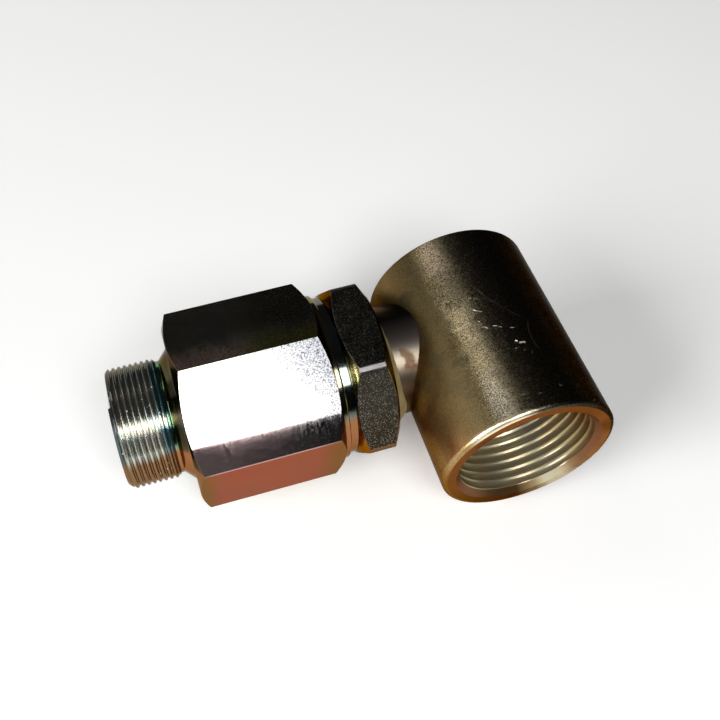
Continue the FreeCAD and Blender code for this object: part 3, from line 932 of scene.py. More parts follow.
def makeNutPlate():
    look = nutLook
    material, tree, shader, point = startMaterial("nutPlate", look)
    angle = roundX(tree, point)["angle"]
    turned = calc(tree, "ADD", angle, fullTurn + hexSide / 2 - glandNut["turn"])
    onSide = calc(tree, "MODULO", turned, hexSide)
    fromCorner = calc(tree, "ABSOLUTE", calc(tree, "SUBTRACT", onSide, hexSide / 2))
    onStrip = easeBetween(tree, fromCorner, look["stripSpan"] + look["stripBlend"], look["stripSpan"])
    offStrip = opposite(tree, onStrip)
    below = easeBetween(tree, angle, *look["lowFrom"])
    flat = mixColour(tree, below, filmOver(tree, point, look["flat"], look), look["lowFlatPaintedReflection"])
    strip = mixColour(tree, below, look["strip"], look["paintedLowStrip"])
    pale = use(tree, specks, point=point, size=look["speckSize"], share=look["speckShare"])["mask"]
    grains = use(tree, grain, point=point, size=look["grainSize"])
    denser = easeBetween(tree, grains["patches"], *look["saltPatches"], *look["saltFrom"])
    salt = easeBetween(tree, grains["height"], denser, calc(tree, "ADD", denser, look["saltEdge"]))
    pale = strongest(tree, [times(tree, pale, offStrip), times(tree, salt, look["saltShare"])])
    colour = mixColour(tree, pale, mixColour(tree, onStrip, flat, strip), look["speck"])
    feed(tree, shader.inputs["Base Color"], colour)
    feed(tree, shader.inputs["Metallic"], scaled(tree, pale, look["paleDulling"], 1.0))
    feed(tree, shader.inputs["Roughness"], uneven(tree, grains["patches"], look))
    relief = scaled(tree, offStrip, 1 - look["stripRelief"], look["stripRelief"])
    bumped(tree, shader, times(tree, grains["height"], look["grainDepth"], relief))
    return material


nutTurnedLook = {
    # painted highlight: the left chamfer's bright gold, brightest at 27 to 49 degrees; dark at the top is
    # painted shade
    "byStation": [(53.0, (0.97, 0.86, 0.52)), (55.6, (0.97, 0.86, 0.52)), (57.0, (0.34, 0.27, 0.14)),
                  (63.3, (0.36, 0.29, 0.15))],
    "longest": 70.0,
    "byAngle": [(-180, (0.5, 0.45, 0.4)), (-60, (0.3, 0.2, 0.15)), (-30, (0.16, 0.08, 0.07)),
                (-8, (0.06, 0.04, 0.04)), (18, (0.10, 0.10, 0.10)), (27, (0.6, 0.55, 0.4)), (33, (1, 1, 1)),
                (41, (1, 1, 0.9)), (49, (0.5, 0.45, 0.35)), (62, (0.45, 0.4, 0.3)), (120, (0.5, 0.45, 0.4)),
                (180, (0.5, 0.45, 0.4))],
    # a painted warm reflection of the floor on the lower front
    "paintedUnderside": (0.30, 0.13, 0.05),
    "undersideFrom": (74.0, 84.0),
    "undersideTo": (140.0, 118.0),
    # a band of painted shade between these angles
    "duskFrom": (52.0, 62.0),
    "duskTo": (140.0, 120.0),
    "dusk": 0.8,
    "duskStation": 20.0,
    "atEdge": (0.5, 0.4, 0.3),
    "roughness": 0.16,
    "filmStrength": 0.1,
    "filmSize": 8.0,
    "ringDepth": 0.004,
    "unevenness": 0.14,
    "ringSpacing": 0.28,
    "grainSize": 0.5,
    "grainDepth": 0.001,
}


def nutOutline(angle, share):
    n = glandNut
    fromFlat = math.radians(hexSide / 2 - offCorner(angle, n["turn"]))
    flat = min(n["flats"] / 2 / math.cos(fromFlat), n["cornerRadius"])
    slope = math.tan(math.radians(n["chamfer"]))
    return rounded([
        (n["start"], n["undercut"], "turned", 0),
        (n["start"], n["innerFace"], "turned", n["edgeBreak"]),
        (n["start"] + (flat - n["innerFace"]) * slope, flat, "flat", n["edgeRound"]),
        (n["end"] - (flat - n["outerFace"]) * slope, flat, "turned", n["edgeRound"]),
        (n["end"], n["outerFace"], "turned", n["edgeBreak"]),
        (n["end"], n["wiperSeat"], "turned", n["edgeBreak"]),
        *boreSteps(n, [
            ("wiperSeat", "wiperStart"),
            ("land", "wiperStart", "bushEnd"),
            ("bushSeat", "bushEnd", "innerEnd"),
            ("threadRadius", "innerEnd", "undercutEnd"),
            ("undercut", "undercutEnd"),
        ], "turned"),
    ])


cornerStrip = hexSide / 2 - math.degrees(math.acos(glandNut["flats"] / 2 / glandNut["cornerRadius"]))
nutPlates = {"flat": makeNutPlate(), "turned": makeTurnedPlate("nutTurned", nutTurnedLook)}
nutAngles = hexAngles(glandNut["turn"], cornerStrip, sideSteps)
nut = spinMesh("glandNut", nutOutline, nutAngles, aboutX, nutPlates)
softenEdges(nut)
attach(nut, "housing")
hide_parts("gland_nut")
print("gland nut made")

# Plain parts inside and at the lip: metal or moulded
plainLooks = {
    "wiperRubber": {"colour": (0.50, 0.44, 0.20), "other": (0.33, 0.27, 0.13), "metallic": 0.0,
                    "roughness": 0.5, "size": 0.8, "depth": 0.05},
    "bronze": {"colour": (0.50, 0.30, 0.12), "other": (0.30, 0.17, 0.07), "metallic": 1.0,
               "roughness": 0.36, "size": 0.6, "depth": 0.012},
    "bearingSteel": {"colour": (0.62, 0.62, 0.63), "other": (0.48, 0.48, 0.50), "metallic": 1.0,
                     "roughness": 0.12, "size": 0.5, "depth": 0.002},
    "sealPlastic": {"colour": (0.62, 0.60, 0.52), "other": (0.45, 0.42, 0.34), "metallic": 0.0,
                    "roughness": 0.45, "size": 0.9, "depth": 0.01},
    "nitrile": {"colour": (0.018, 0.018, 0.02), "other": (0.035, 0.034, 0.034), "metallic": 0.0,
                "roughness": 0.55, "size": 0.4, "depth": 0.015},
}
plainUnevenness = 0.12
plainMottle = (0.35, 0.65)


def makePlain(name):
    look = {**plainLooks[name], "unevenness": plainUnevenness}
    material, tree, shader, point = startMaterial(name, look)
    grains = use(tree, grain, point=point, size=look["size"])
    mottled = easeBetween(tree, grains["patches"], *plainMottle)
    feed(tree, shader.inputs["Base Color"], mixColour(tree, mottled, look["colour"], look["other"]))
    feed(tree, shader.inputs["Roughness"], uneven(tree, mottled, look))
    bumped(tree, shader, times(tree, grains["height"], look["depth"]))
    return material


plain = {name: makePlain(name) for name in plainLooks}
print("plain materials made")

# Wiper ring, with a lip that is a little uneven
wiper = {
    "start": 57.75,
    "end": 63.35,
    "outer": 16.5,
    "lip": 66.05,
    "lipWall": 0.45,
    "shaft": 13.52,
    "heel": 14.2,
    "lipLength": 2.2,
    "heelLength": 4.4,
    "wave": 0.22,
    "waves": 2.2,
    "bulgeAt": 88.0,
    "bulgeSpan": 26.0,
    "bulge": 0.55,
    "shortBy": 1.5,
    "shortAt": -30.0,
    "fineWaves": 4,
    "fineShare": 0.5,
    "taper": 0.05,
    "rimRound": 0.3,
    "shoulder": 1.9,
    "shoulderRound": 0.4,
    "lipWave": 0.4,
    "lipRound": 0.15,
    "columns": 144,
}


def wiperOutline(angle, share):
    w = wiper
    around = Vector((math.cos(angle), math.sin(angle), 0)) * w["waves"]
    wave = w["wave"] * (noise.noise(around) + w["fineShare"] * noise.noise(around * w["fineWaves"]))
    off = abs((math.degrees(angle) - w["bulgeAt"] + 180) % fullTurn - 180) / w["bulgeSpan"]
    bulge = w["bulge"] * max(0.0, 1 - off * off) ** 2
    lip = w["lip"] - w["shortBy"] * ((1 + math.cos(angle - math.radians(w["shortAt"]))) / 2) ** 2
    tip = lip - abs(wave) + bulge
    tipRadius = w["shaft"] + w["lipWall"] + w["lipWave"] * abs(wave) + bulge
    shoulder = w["end"] + (lip - w["end"]) / 3 + bulge
    return rounded([
        (w["start"], w["heel"], "rubber", 0),
        (w["start"], w["outer"], "rubber", 0),
        (w["end"], w["outer"] - w["taper"], "rubber", w["rimRound"]),
        (shoulder, w["shaft"] + w["shoulder"] + wave + bulge, "rubber", w["shoulderRound"]),
        (tip, tipRadius, "rubber", w["lipRound"]),
        (tip, w["shaft"], "rubber", 0),
        (lip - w["lipLength"], w["shaft"], "rubber", 0),
        (w["lip"] - w["heelLength"], w["heel"], "rubber", 0),
    ])


wiperPlates = {"rubber": plain["wiperRubber"]}
wiperLip = spinMesh("wiperLip", wiperOutline, evenAngles(wiper["columns"]), aboutX, wiperPlates)
softenEdges(wiperLip)
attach(wiperLip, "housing")
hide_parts("wiper_ring")
print("wiper made")

# Stem
shaft = {
    "nose": 17.9,
    "noseRadius": 11.0,
    "noseChamfer": 0.8,
    "collarStart": 30.9,
    "collarEnd": 35.4,
    "collar": 15.9,
    "radius": 13.5,
    "seat": 73.44,
    "end": 81.04,
    "tail": 11.0,
    "tailChamfer": 0.8,
    "collarRound": 0.2,
    "fillet": 1.0,
    "flow": 8.0,
    "columns": 180,
}
# Bare ground steel with a brown bloom and a few rust spots, painted by angle with shade dark along its top
# and under side
stemLook = {
    "byAngle": [(-180, (0.30, 0.26, 0.22)), (-60, (0.20, 0.17, 0.14)), (-12, (0.06, 0.05, 0.045)),
                (10, (0.40, 0.34, 0.31)), (30, (0.33, 0.28, 0.21)), (48, (0.36, 0.29, 0.22)),
                (62, (0.34, 0.28, 0.21)), (76, (0.075, 0.058, 0.036)), (130, (0.10, 0.08, 0.06)),
                (180, (0.30, 0.26, 0.22))],
    "bloom": (0.22, 0.145, 0.085),
    "atEdge": (0.45, 0.4, 0.35),
    "rust": (0.42, 0.16, 0.04),
    "roughness": 0.34,
    "ringDepth": 0.008,
    # station, angle and reach of each rusty place
    "rustSpots": [(68.0, 30.5, 1.3, 1.2), (68.8, 37.0, 1.5, 2.2), (69.4, 44.5, 1.1, 1.1),
                  (68.1, 42.6, 1.2, 1.2), (67.6, 25.5, 0.9, 1.0), (68.4, 158.0, 1.4, 2.2),
                  (67.6, -120.0, 1.2, 1.6)],
    "grainSize": 0.7,
    "blotches": (0.42, 0.68),
    "bloomShare": 0.5,
    "wobbleScale": 1800.0,
    "wobble": 0.9,
    "fleckScale": 6500.0,
    "flecks": (0.43, 0.56),
    "rustDulling": -0.7,
    "rustRoughness": 0.3,
    "rustDepth": 0.05,
    "ringSpacing": 0.22,
}


def makeStemSteel():
    look = stemLook
    material, tree, shader, point = startMaterial("stemSteel", look)
    place = roundX(tree, point)
    perDegree = math.radians(shaft["radius"])
    patches = use(tree, grain, point=point, size=look["grainSize"])["patches"]
    blotched = easeBetween(tree, patches, *look["blotches"])
    steel = angleRamp(tree, place, look["byAngle"])
    colour = mixColour(tree, times(tree, blotched, look["bloomShare"]), steel, look["bloom"])
    wobble = scaled(tree, cloud(tree, point, look["wobbleScale"]), look["wobble"], -look["wobble"] / 2)
    along = calc(tree, "ADD", place["station"], wobble)
    arc = calc(tree, "ADD", times(tree, place["angle"], perDegree), wobble)
    spots = []
    for at, angle, reachU, reachV in look["rustSpots"]:
        spots.append(use(tree, spot, u=along, v=arc, centreU=at, centreV=angle * perDegree,
                         reachU=reachU, reachV=reachV)["mask"])
    flecks = cloud(tree, point, look["fleckScale"], 2.0, 0.6)
    rust = times(tree, strongest(tree, spots), easeBetween(tree, flecks, *look["flecks"]))
    feed(tree, shader.inputs["Base Color"], mixColour(tree, rust, colour, look["rust"]))
    feed(tree, shader.inputs["Metallic"], scaled(tree, rust, look["rustDulling"], 1.0))
    feed(tree, shader.inputs["Roughness"], scaled(tree, rust, look["rustRoughness"], look["roughness"]))
    rings = ringHeight(tree, place["station"], point, look)
    bumped(tree, shader, scaled(tree, rings, look["ringDepth"], times(tree, rust, look["rustDepth"])))
    return material


def shaftOutline(angle, share):
    s = shaft
    return rounded([
        (s["nose"], s["flow"], "steel", 0),
        (s["nose"], s["noseRadius"] - s["noseChamfer"], "steel", 0),
        (s["nose"] + s["noseChamfer"], s["noseRadius"], "steel", 0),
        (s["collarStart"], s["noseRadius"], "steel", 0),
        (s["collarStart"], s["collar"], "steel", s["collarRound"]),
        (s["collarEnd"], s["collar"], "steel", s["collarRound"]),
        (s["collarEnd"], s["radius"], "steel", s["fillet"]),
        (s["seat"], s["radius"], "steel", 0),
        (s["seat"], s["tail"], "steel", 0),
        (s["end"] - s["tailChamfer"], s["tail"], "steel", 0),
        (s["end"], s["tail"] - s["tailChamfer"], "steel", 0),
        (s["end"], s["flow"], "steel", 0),
    ])


shaftPlates = {"steel": makeStemSteel()}
stemShaft = spinMesh("stemShaft", shaftOutline, evenAngles(shaft["columns"]), aboutX, shaftPlates)
softenEdges(stemShaft)
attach(stemShaft, "rotor")
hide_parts("stem")
print("stem made")

# Cross barrel, in millimetres from its own axis and from the stem's
barrel = {
    "radius": 20.75,
    "mouth": -34.5,
    "far": 17.85,
    "mouthRound": 1.6,
    "farRound": 0.8,
    "countersink": 17.55,
    "port": 16.0,
    "portBottom": -15.52,
    "undercut": 16.8,
    "undercutLength": 2.2,
    "flow": 8.0,
    "flowEnd": 6.04,
    "tip": 10.85,
    "holeStart": 55.0,
    "holeRadius": 13.52,
    "sealSeat": 12.9,
    "sealWidth": 2.1,
    "innerRing": 0.3,
    "runOut": 1.5,  # slope at which the thread runs out into the undercut
    "skinRows": 22,
    "columns": 192,
    "holeColumns": 96,
}
portThread = {
    "pitch": 2.36,
    "depth": 0.4,
    "start": 0.0,
    "shape": [(0.0, 0.0), (0.03, 0.0), (0.06, 0.12), (0.13, 0.5), (0.2, 0.76), (0.3, 0.92), (0.42, 0.99),
              (0.5, 1.0), (0.58, 0.99), (0.7, 0.92), (0.8, 0.76), (0.87, 0.5), (0.94, 0.12), (0.97, 0.0)],
}
# Forged skin, plated gold, painted by angle: shade near black on its right side, a bright painted reflection
# at the streak and a warm one low on the left
barrelLook = {
    "byAngle": [(-180, (0.30, 0.20, 0.08)), (-110, (0.30, 0.15, 0.05)), (-90, (0.30, 0.15, 0.05)),
                (-72, (0.42, 0.265, 0.115)), (-45, (0.36, 0.25, 0.105)), (-32, (0.42, 0.315, 0.145)),
                (-24, (0.58, 0.47, 0.26)), (-15, (0.54, 0.44, 0.26)), (-9, (0.32, 0.26, 0.16)),
                (-1, (0.19, 0.155, 0.105)), (10, (0.11, 0.09, 0.065)), (24, (0.06, 0.05, 0.038)),
                (34, (0.045, 0.038, 0.03)), (46, (0.040, 0.031, 0.023)), (80, (0.075, 0.052, 0.03)),
                (130, (0.26, 0.17, 0.07)), (180, (0.30, 0.20, 0.08))],
    "atFarEnd": 0.55,
    "endAngle": -52.0,
    "pink": (0.52, 0.39, 0.29),
    "silver": (0.80, 0.70, 0.54),
    "stain": (0.10, 0.082, 0.045),
    "speck": (0.72, 0.65, 0.48),
    "nick": (0.78, 0.73, 0.62),
    # a painted highlight on the mouth's rim
    "rimHighlight": (1.0, 0.88, 0.62),
    "atEdge": (0.34, 0.315, 0.285),
    "roughness": 0.30,
    "grainSize": 0.30,
    "grainDepth": 0.05,
    # angle, height, reach in degrees and in millimetres, strength
    # the stain at -50 degrees and 6.5 mm is a painted shadow of the stem; the others are stains
    "stains": [(-44.0, -20.5, 10.0, 2.2, 0.6), (-36.0, -24.2, 7.0, 1.6, 0.55), (-47.0, -12.5, 8.0, 3.4, 0.7),
               (-40.0, -22.5, 8.0, 1.6, 0.5), (-50.0, 6.5, 10.0, 3.0, 0.7), (-33.0, -16.0, 9.0, 2.0, 0.6),
               (-24.0, -1.8, 2.4, 1.9, 0.8), (-11.0, -8.2, 4.5, 1.8, 0.7), (-60.0, -15.0, 9.0, 3.0, 0.6),
               (-21.0, 3.0, 15.0, 8.0, 0.55), (150.0, -8.0, 22.0, 5.0, 0.7), (-140.0, 4.0, 18.0, 6.0, 0.7),
               (95.0, -22.0, 14.0, 5.0, 0.6)],
    # angle, height, direction, length, width, bend, strength
    "nicks": [(2.9, -5.4, -56.0, 14.4, 0.08, -0.9, 0.2), (14.6, -15.4, -97.0, 9.4, 0.096, -1.1, 0.21),
              (-8.6, -2.6, -30.0, 3.6, 0.096, 0.2, 0.27), (-10.2, -6.2, -36.0, 2.6, 0.18, -0.25, 0.51),
              (-11.8, -9.4, -80.0, 2.3, 0.11, 0.5, 0.36), (-10.6, -10.9, -38.0, 1.5, 0.21, 0.2, 0.54),
              (-4.4, -11.4, -20.0, 1.0, 0.21, 0.0, 0.54), (-1.6, -12.0, -30.0, 0.8, 0.19, 0.0, 0.51),
              (5.2, -12.9, -10.0, 0.9, 0.22, 0.0, 0.57), (3.4, -16.6, -25.0, 0.7, 0.34, 0.0, 1.0),
              (6.6, -17.2, -4.0, 1.7, 0.36, 0.1, 1.0), (1.2, -18.4, 0.0, 0.6, 0.22, 0.0, 0.48),
              (5.6, -19.3, 20.0, 0.6, 0.18, 0.0, 0.36), (9.6, -20.2, 60.0, 0.7, 0.16, 0.0, 0.36),
              (-13.8, -18.8, 80.0, 0.7, 0.18, 0.0, 0.42), (16.6, -29.5, -20.0, 0.8, 0.21, 0.0, 0.42),
              (1.4, -30.6, 10.0, 1.0, 0.16, 0.0, 0.36), (38.4, -33.2, 40.0, 0.9, 0.2, 0.0, 0.3),
              (-23.5, -8.4, 1.0, 4.8, 0.096, 0.0, 0.33), (-25.0, -9.0, -1.0, 3.4, 0.08, 0.0, 0.27),
              (-27.0, -7.9, 2.0, 2.8, 0.08, 0.0, 0.24), (-26.0, -0.3, -12.0, 2.6, 0.096, 0.3, 0.3),
              (-14.0, -24.3, 0.0, 2.4, 0.11, 0.0, 0.21), (-50.5, -5.9, 75.0, 2.0, 0.08, 0.0, 0.21),
              (-8.0, -29.9, 5.0, 3.0, 0.096, 0.0, 0.18), (120.0, -10.0, 40.0, 6.0, 0.11, 0.4, 0.3),
              (-165.0, -18.0, -30.0, 5.0, 0.11, -0.4, 0.3), (75.0, 6.0, 15.0, 4.0, 0.096, 0.2, 0.24)],
    "endBlend": (0.25, 0.05),
    "ragged": (26.0, 14.0),
    "duller": (-22.0, 12.0),
    "dullerTo": (-40.0, -26.0),
    "streakAt": -21.0,
    "streakReach": 8.0,
    "silverTo": (2.0, -24.0),
    "streakEnds": ((1.0, 9.0), (-18.0, -26.0)),
    "streakShare": 0.6,
    "wobbleScale": 700.0,
    "wobble": 3.0,
    "wobbleRound": 4.0,
    "blotScale": 900.0,
    "blots": 1.2,
    "blotEdge": (0.55, 1.5),
    "mottled": (0.48, 0.72),
    "mottledShare": 0.35,
    "grainsFrom": (-30.0, -20.0),
    "grainsTo": (14.0, -16.0),
    "speckSize": 0.36,
    "speckShare": (0.26, 0.02),
    "speckStrength": (0.4, 0.2),
    "gritFrom": (-38.0, -24.0),
    "grit": (0.5, 1.5),
    "salt": (0.36, 0.66),
    "rimFrom": (-54.0, -38.0),
    "rimTo": (-2.0, -18.0),
    "rimEdge": (1.9, 0.8),
    "rimRagged": 0.5,
    "nickDulling": 0.5,
    "speckDulling": 0.35,
    "stainRoughness": 0.15,
    "unevenness": 0.16,
    "nickDepth": -0.12,
}


def makeBarrelPlate():
    look = barrelLook
    material, tree, shader, point = startMaterial("barrelPlate", look)
    place = roundY(tree, point)
    height = place["station"]
    perDegree = math.radians(barrel["radius"])
    # the closed end takes the colours of one angle, so that they don't fan out from its centre
    onEnd = easeBetween(tree, height, *(barrel["far"] - inset for inset in look["endBlend"]))
    angle = mixValue(tree, onEnd, place["angle"], look["endAngle"])
    arc = times(tree, angle, perDegree)
    grains = use(tree, grain, point=point, size=look["grainSize"])
    fineShift, broadShift = look["ragged"]
    ragged = scaled(tree, grains["height"], fineShift, times(tree, grains["patches"], broadShift))
    turned = calc(tree, "ADD", angle, calc(tree, "SUBTRACT", ragged, (fineShift + broadShift) / 2))
    colour = ramp(tree, scaled(tree, turned, 1 / fullTurn, 0.5), angleStops(look["byAngle"]))
    duller = easeBetween(tree, height, *look["duller"], 1.0, look["atFarEnd"])
    colour = shaded(tree, colour, mixValue(tree, easeBetween(tree, angle, *look["dullerTo"]), duller, 1.0))
    # a painted reflection: a coppery streak at the far end that turns silvery towards the mouth
    streak = use(tree, spot, u=turned, v=0.0, centreU=look["streakAt"], centreV=0.0,
                 reachU=look["streakReach"], reachV=1.0)["mask"]
    silvery = easeBetween(tree, height, *look["silverTo"])
    streakColour = mixColour(tree, silvery, look["pink"], look["silver"])
    ends = outside(tree, height, *look["streakEnds"])
    colour = mixColour(tree, times(tree, streak, ends, look["streakShare"]), colour, streakColour)
    # stains with ragged edges, and one painted shadow
    cloudy = cloud(tree, point, look["wobbleScale"], 3.0)
    wobble = scaled(tree, cloudy, look["wobble"], -look["wobble"] / 2)
    stainU = scaled(tree, wobble, look["wobbleRound"], angle)
    stainV = calc(tree, "ADD", height, wobble)
    blots = cloud(tree, point, look["blotScale"], 4.0, 0.65)
    stains = []
    for centre, at, reachU, reachV, strength in look["stains"]:
        patch = use(tree, spot, u=stainU, v=stainV, centreU=centre, centreV=at,
                    reachU=reachU, reachV=reachV)["mask"]
        patch = easeBetween(tree, scaled(tree, blots, look["blots"], patch), *look["blotEdge"])
        stains.append(times(tree, patch, strength))
    stain = strongest(tree, stains)
    mottled = times(tree, easeBetween(tree, grains["patches"], *look["mottled"]), look["mottledShare"])
    colour = mixColour(tree, strongest(tree, [stain, mottled]), colour, look["stain"])
    # pale grains, also painted as glints: thick along the streak and thinning out over the dark side
    thinning = within(tree, angle, look["grainsFrom"], look["grainsTo"])
    pale = use(tree, specks, point=point, size=look["speckSize"],
               share=scaled(tree, thinning, *look["speckShare"]))["mask"]
    pale = times(tree, pale, scaled(tree, thinning, *look["speckStrength"]))
    marks = []
    for centre, at, turn, length, width, bend, strength in look["nicks"]:
        mark = use(tree, nick, u=arc, v=height, centreU=centre * perDegree, centreV=at, turn=turn,
                   length=length, width=width, bend=bend)["mask"]
        marks.append(times(tree, mark, strength))
    marked = strongest(tree, marks)
    grit = mixValue(tree, easeBetween(tree, angle, *look["gritFrom"]), *look["grit"])
    salt = calc(tree, "SUBTRACT", easeBetween(tree, grains["height"], *look["salt"]), 0.5)
    colour = shaded(tree, colour, scaled(tree, salt, grit, 1.0))
    colour = mixColour(tree, pale, colour, look["speck"])
    colour = mixColour(tree, marked, colour, look["nick"])
    # the mouth's rim has a painted highlight on the streak's side
    nearMouth = calc(tree, "SUBTRACT", height, barrel["mouth"])
    rimHighlight = easeBetween(tree, scaled(tree, grains["height"], look["rimRagged"], nearMouth), *look["rimEdge"])
    rimHighlight = times(tree, rimHighlight, within(tree, angle, look["rimFrom"], look["rimTo"]))
    feed(tree, shader.inputs["Base Color"], mixColour(tree, rimHighlight, colour, look["rimHighlight"]))
    dulled = [times(tree, marked, look["nickDulling"]), times(tree, pale, look["speckDulling"])]
    feed(tree, shader.inputs["Metallic"], opposite(tree, strongest(tree, dulled)))
    dull = scaled(tree, stain, look["stainRoughness"], uneven(tree, grains["patches"], look))
    feed(tree, shader.inputs["Roughness"], dull)
    dug = times(tree, marked, look["nickDepth"])
    bumped(tree, shader, scaled(tree, grains["height"], look["grainDepth"], dug))
    return material


# Machined mouth of the barrel, and its thread
mouthLook = {
    # bright gold at 142 to 154 degrees is a painted highlight
    "byAngle": [(-180, (0.075, 0.04, 0.018)), (-150, (0.12, 0.062, 0.026)), (-110, (0.225, 0.105, 0.055)),
                (-70, (0.235, 0.10, 0.052)), (-30, (0.26, 0.10, 0.05)), (40, (0.22, 0.09, 0.045)),
                (105, (0.36, 0.165, 0.09)), (130, (0.36, 0.22, 0.13)), (142, (0.78, 0.66, 0.46)),
                (154, (0.85, 0.74, 0.52)), (164, (0.34, 0.25, 0.14)), (180, (0.075, 0.04, 0.018))],
    "dark": (0.08, 0.032, 0.012),
    "atEdge": (0.45, 0.36, 0.28),
    "roughness": 0.28,
    "ringSpacing": 0.3,
    "filmStrength": 0.15,
    "filmSize": 9.0,
    "grainSize": 0.5,
    "grainDepth": 0.015,
    "ringDepth": 0.03,
    "unevenness": 0.2,
    "darkPatches": (0.5, 0.72),
    "darkShare": 0.5,
}


def makeBarrelFace():
    look = mouthLook
    material, tree, shader, point = startMaterial("barrelFace", look)
    place = roundY(tree, point)
    grains = use(tree, grain, point=point, size=look["grainSize"])
    colour = filmOver(tree, point, angleRamp(tree, place, look["byAngle"]), look)
    dark = easeBetween(tree, grains["patches"], *look["darkPatches"])
    colour = mixColour(tree, times(tree, dark, look["darkShare"]), colour, look["dark"])
    machined(tree, shader, look, colour, place["radius"], point, grains)
    return material


portThreadLook = {
    # painted light and shade by angle: the bottom wall lighter, the left wall dark
    "byAngle": [(-180, (0.68, 0.60, 0.42)), (-130, (0.48, 0.41, 0.26)), (-95, (0.075, 0.053, 0.024)),
                (-40, (0.14, 0.11, 0.055)), (40, (0.28, 0.2, 0.1)), (90, (0.24, 0.13, 0.05)),
                (120, (0.44, 0.33, 0.18)), (150, (0.58, 0.49, 0.33)), (180, (0.66, 0.58, 0.40))],
    "sunkByAngle": [(-180, (1.7, 1.7, 1.7)), (-120, (1.1, 1.1, 1.1)), (-60, (0.8, 0.8, 0.8)),
                    (60, (0.6, 0.55, 0.5)), (120, (0.55, 0.5, 0.42)), (138, (1.2, 1.2, 1.1)),
                    (165, (1.8, 1.8, 1.7)), (180, (1.7, 1.7, 1.7))],
    "countersinkDepth": 1.45,
    "rootShade": 0.8,
    "deeperPaintedLight": 1.3,
    "atEdge": (0.75, 0.66, 0.48),
    "crestRadius": 16.15,
    "rootRadius": 16.4,
    "roughness": 0.36,
    "metallic": 0.8,
    "deeperFrom": (4.0, 14.0),
    "sunkBlend": 0.15,
    "filmStrength": 0.2,
    "filmSize": 8.0,
    "grainSize": 0.5,
    "grainDepth": 0.005,
    "ringSpacing": 0.25,
    "ringDepth": 0.006,
    "unevenness": 0.2,
}


def makeBarrelThread():
    look = portThreadLook
    material, tree, shader, point = startMaterial("barrelThread", look)
    place = roundY(tree, point)
    deep = easeBetween(tree, place["radius"], look["crestRadius"], look["rootRadius"])
    colour = angleRamp(tree, place, look["byAngle"])
    colour = shaded(tree, colour, mixValue(tree, deep, 1.0, look["rootShade"]))
    inMouth = calc(tree, "SUBTRACT", place["station"], barrel["mouth"])
    # painted light: brighter deeper in the bore
    brighter = easeBetween(tree, inMouth, *look["deeperFrom"], 1.0, look["deeperPaintedLight"])
    colour = shaded(tree, filmOver(tree, point, colour, look), brighter)
    # the countersink takes the mouth's own colours, brightened from 138 degrees round past 180 as a painted
    # highlight
    sunk = easeBetween(tree, inMouth, look["countersinkDepth"], look["countersinkDepth"] - look["sunkBlend"])
    rimColour = tinted(tree, angleRamp(tree, place, mouthLook["byAngle"]),
                       angleRamp(tree, place, look["sunkByAngle"]))
    feed(tree, shader.inputs["Specular Tint"], mixColour(tree, sunk, look["atEdge"], mouthLook["atEdge"]))
    grains = use(tree, grain, point=point, size=look["grainSize"])
    machined(tree, shader, look, mixColour(tree, sunk, colour, rimColour), place["station"], point, grains)
    return material


def barrelOutline(angle, share):
    b = barrel
    threadEnd = b["portBottom"] - b["undercutLength"]
    skinRows = b["skinRows"]

    def radiusAt(y, depth):
        mouthSide = b["countersink"] - (y - b["mouth"])
        bottomSide = b["undercut"] - (threadEnd - y) * b["runOut"]
        return max(b["port"] + depth, mouthSide, bottomSide)

    rows = threadRows(portThread, share, b["mouth"], threadEnd, radiusAt, "thread")
    long = b["mouth"] - b["far"]
    skin = [(b["far"] + long * i / skinRows, b["radius"], "skin", 0) for i in range(1, skinRows)]
    outer = rounded([
        (b["tip"], 0.0, "bore", 0),
        (b["far"], 0.0, "skin", 0),
        (b["far"], b["radius"], "skin", b["farRound"]),
        *skin,
        (b["mouth"], b["radius"], "skin", b["mouthRound"]),
        (b["mouth"], b["countersink"] + b["innerRing"], "face", 0),
    ], closed=False, steps=6)
    nearly = 0.02
    outer = [(x, r, "face" if x - b["mouth"] < nearly else finish) for x, r, finish in outer]
    inner = [
        (b["portBottom"], b["undercut"], "bore"),
        (b["portBottom"], b["flow"], "bore"),
        (b["flowEnd"], b["flow"], "bore"),
        (b["tip"], 0.0, "bore"),
    ]
    return outer[1:] + rows + inner


def crossHole(angle, share):
    b, s = barrel, shaft
    axisStation = (barrelAxisX - spigotFace) / mm
    corners = [
        (b["holeStart"], 0.0),
        (b["holeStart"], b["holeRadius"]),
        (s["seat"], b["holeRadius"]),
        (s["seat"], b["sealSeat"]),
        (s["seat"] + b["sealWidth"], b["sealSeat"]),
        (s["seat"] + b["sealWidth"], s["tail"]),
        (s["end"], s["tail"]),
        (s["end"], b["flow"]),
        (axisStation, b["flow"]),
        (axisStation, 0.0),
    ]
    return [(x, r, "bore") for x, r in corners]


barrelPlates = {
    "skin": makeBarrelPlate(),
    "face": makeBarrelFace(),
    "thread": makeBarrelThread(),
    "bore": boreSteel,
}
barrelAngles = evenAngles(barrel["columns"])
crossBarrel = spinMesh("crossBarrel", barrelOutline, barrelAngles, aboutY, barrelPlates, closed=False)
holeAngles = evenAngles(barrel["holeColumns"])
hole = spinMesh("hole", crossHole, holeAngles, aboutX, barrelPlates, closed=False)
cutWith(crossBarrel, hole)
softenEdges(crossBarrel)
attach(crossBarrel, "rotor")
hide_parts("cross_barrel")
print("barrel made")

# Inner parts keep their solids and take a finish each
innerFinish = {
    "front_bush": "bronze",
    "rear_bush": "bronze",
    "thrust_washer": "bronze",
    "front_race": "bearingSteel",
    "thrust_ball": "bearingSteel",
    "main_seal_ring": "sealPlastic",
    "main_seal_o_ring": "nitrile",
    "stem_o_ring": "nitrile",
}
for name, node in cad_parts.items():
    finish = next((innerFinish[start] for start in innerFinish if name.startswith(start)), "bearingSteel")
    node.data.materials.clear()
    node.data.materials.append(plain[finish])
print("inner parts finished")

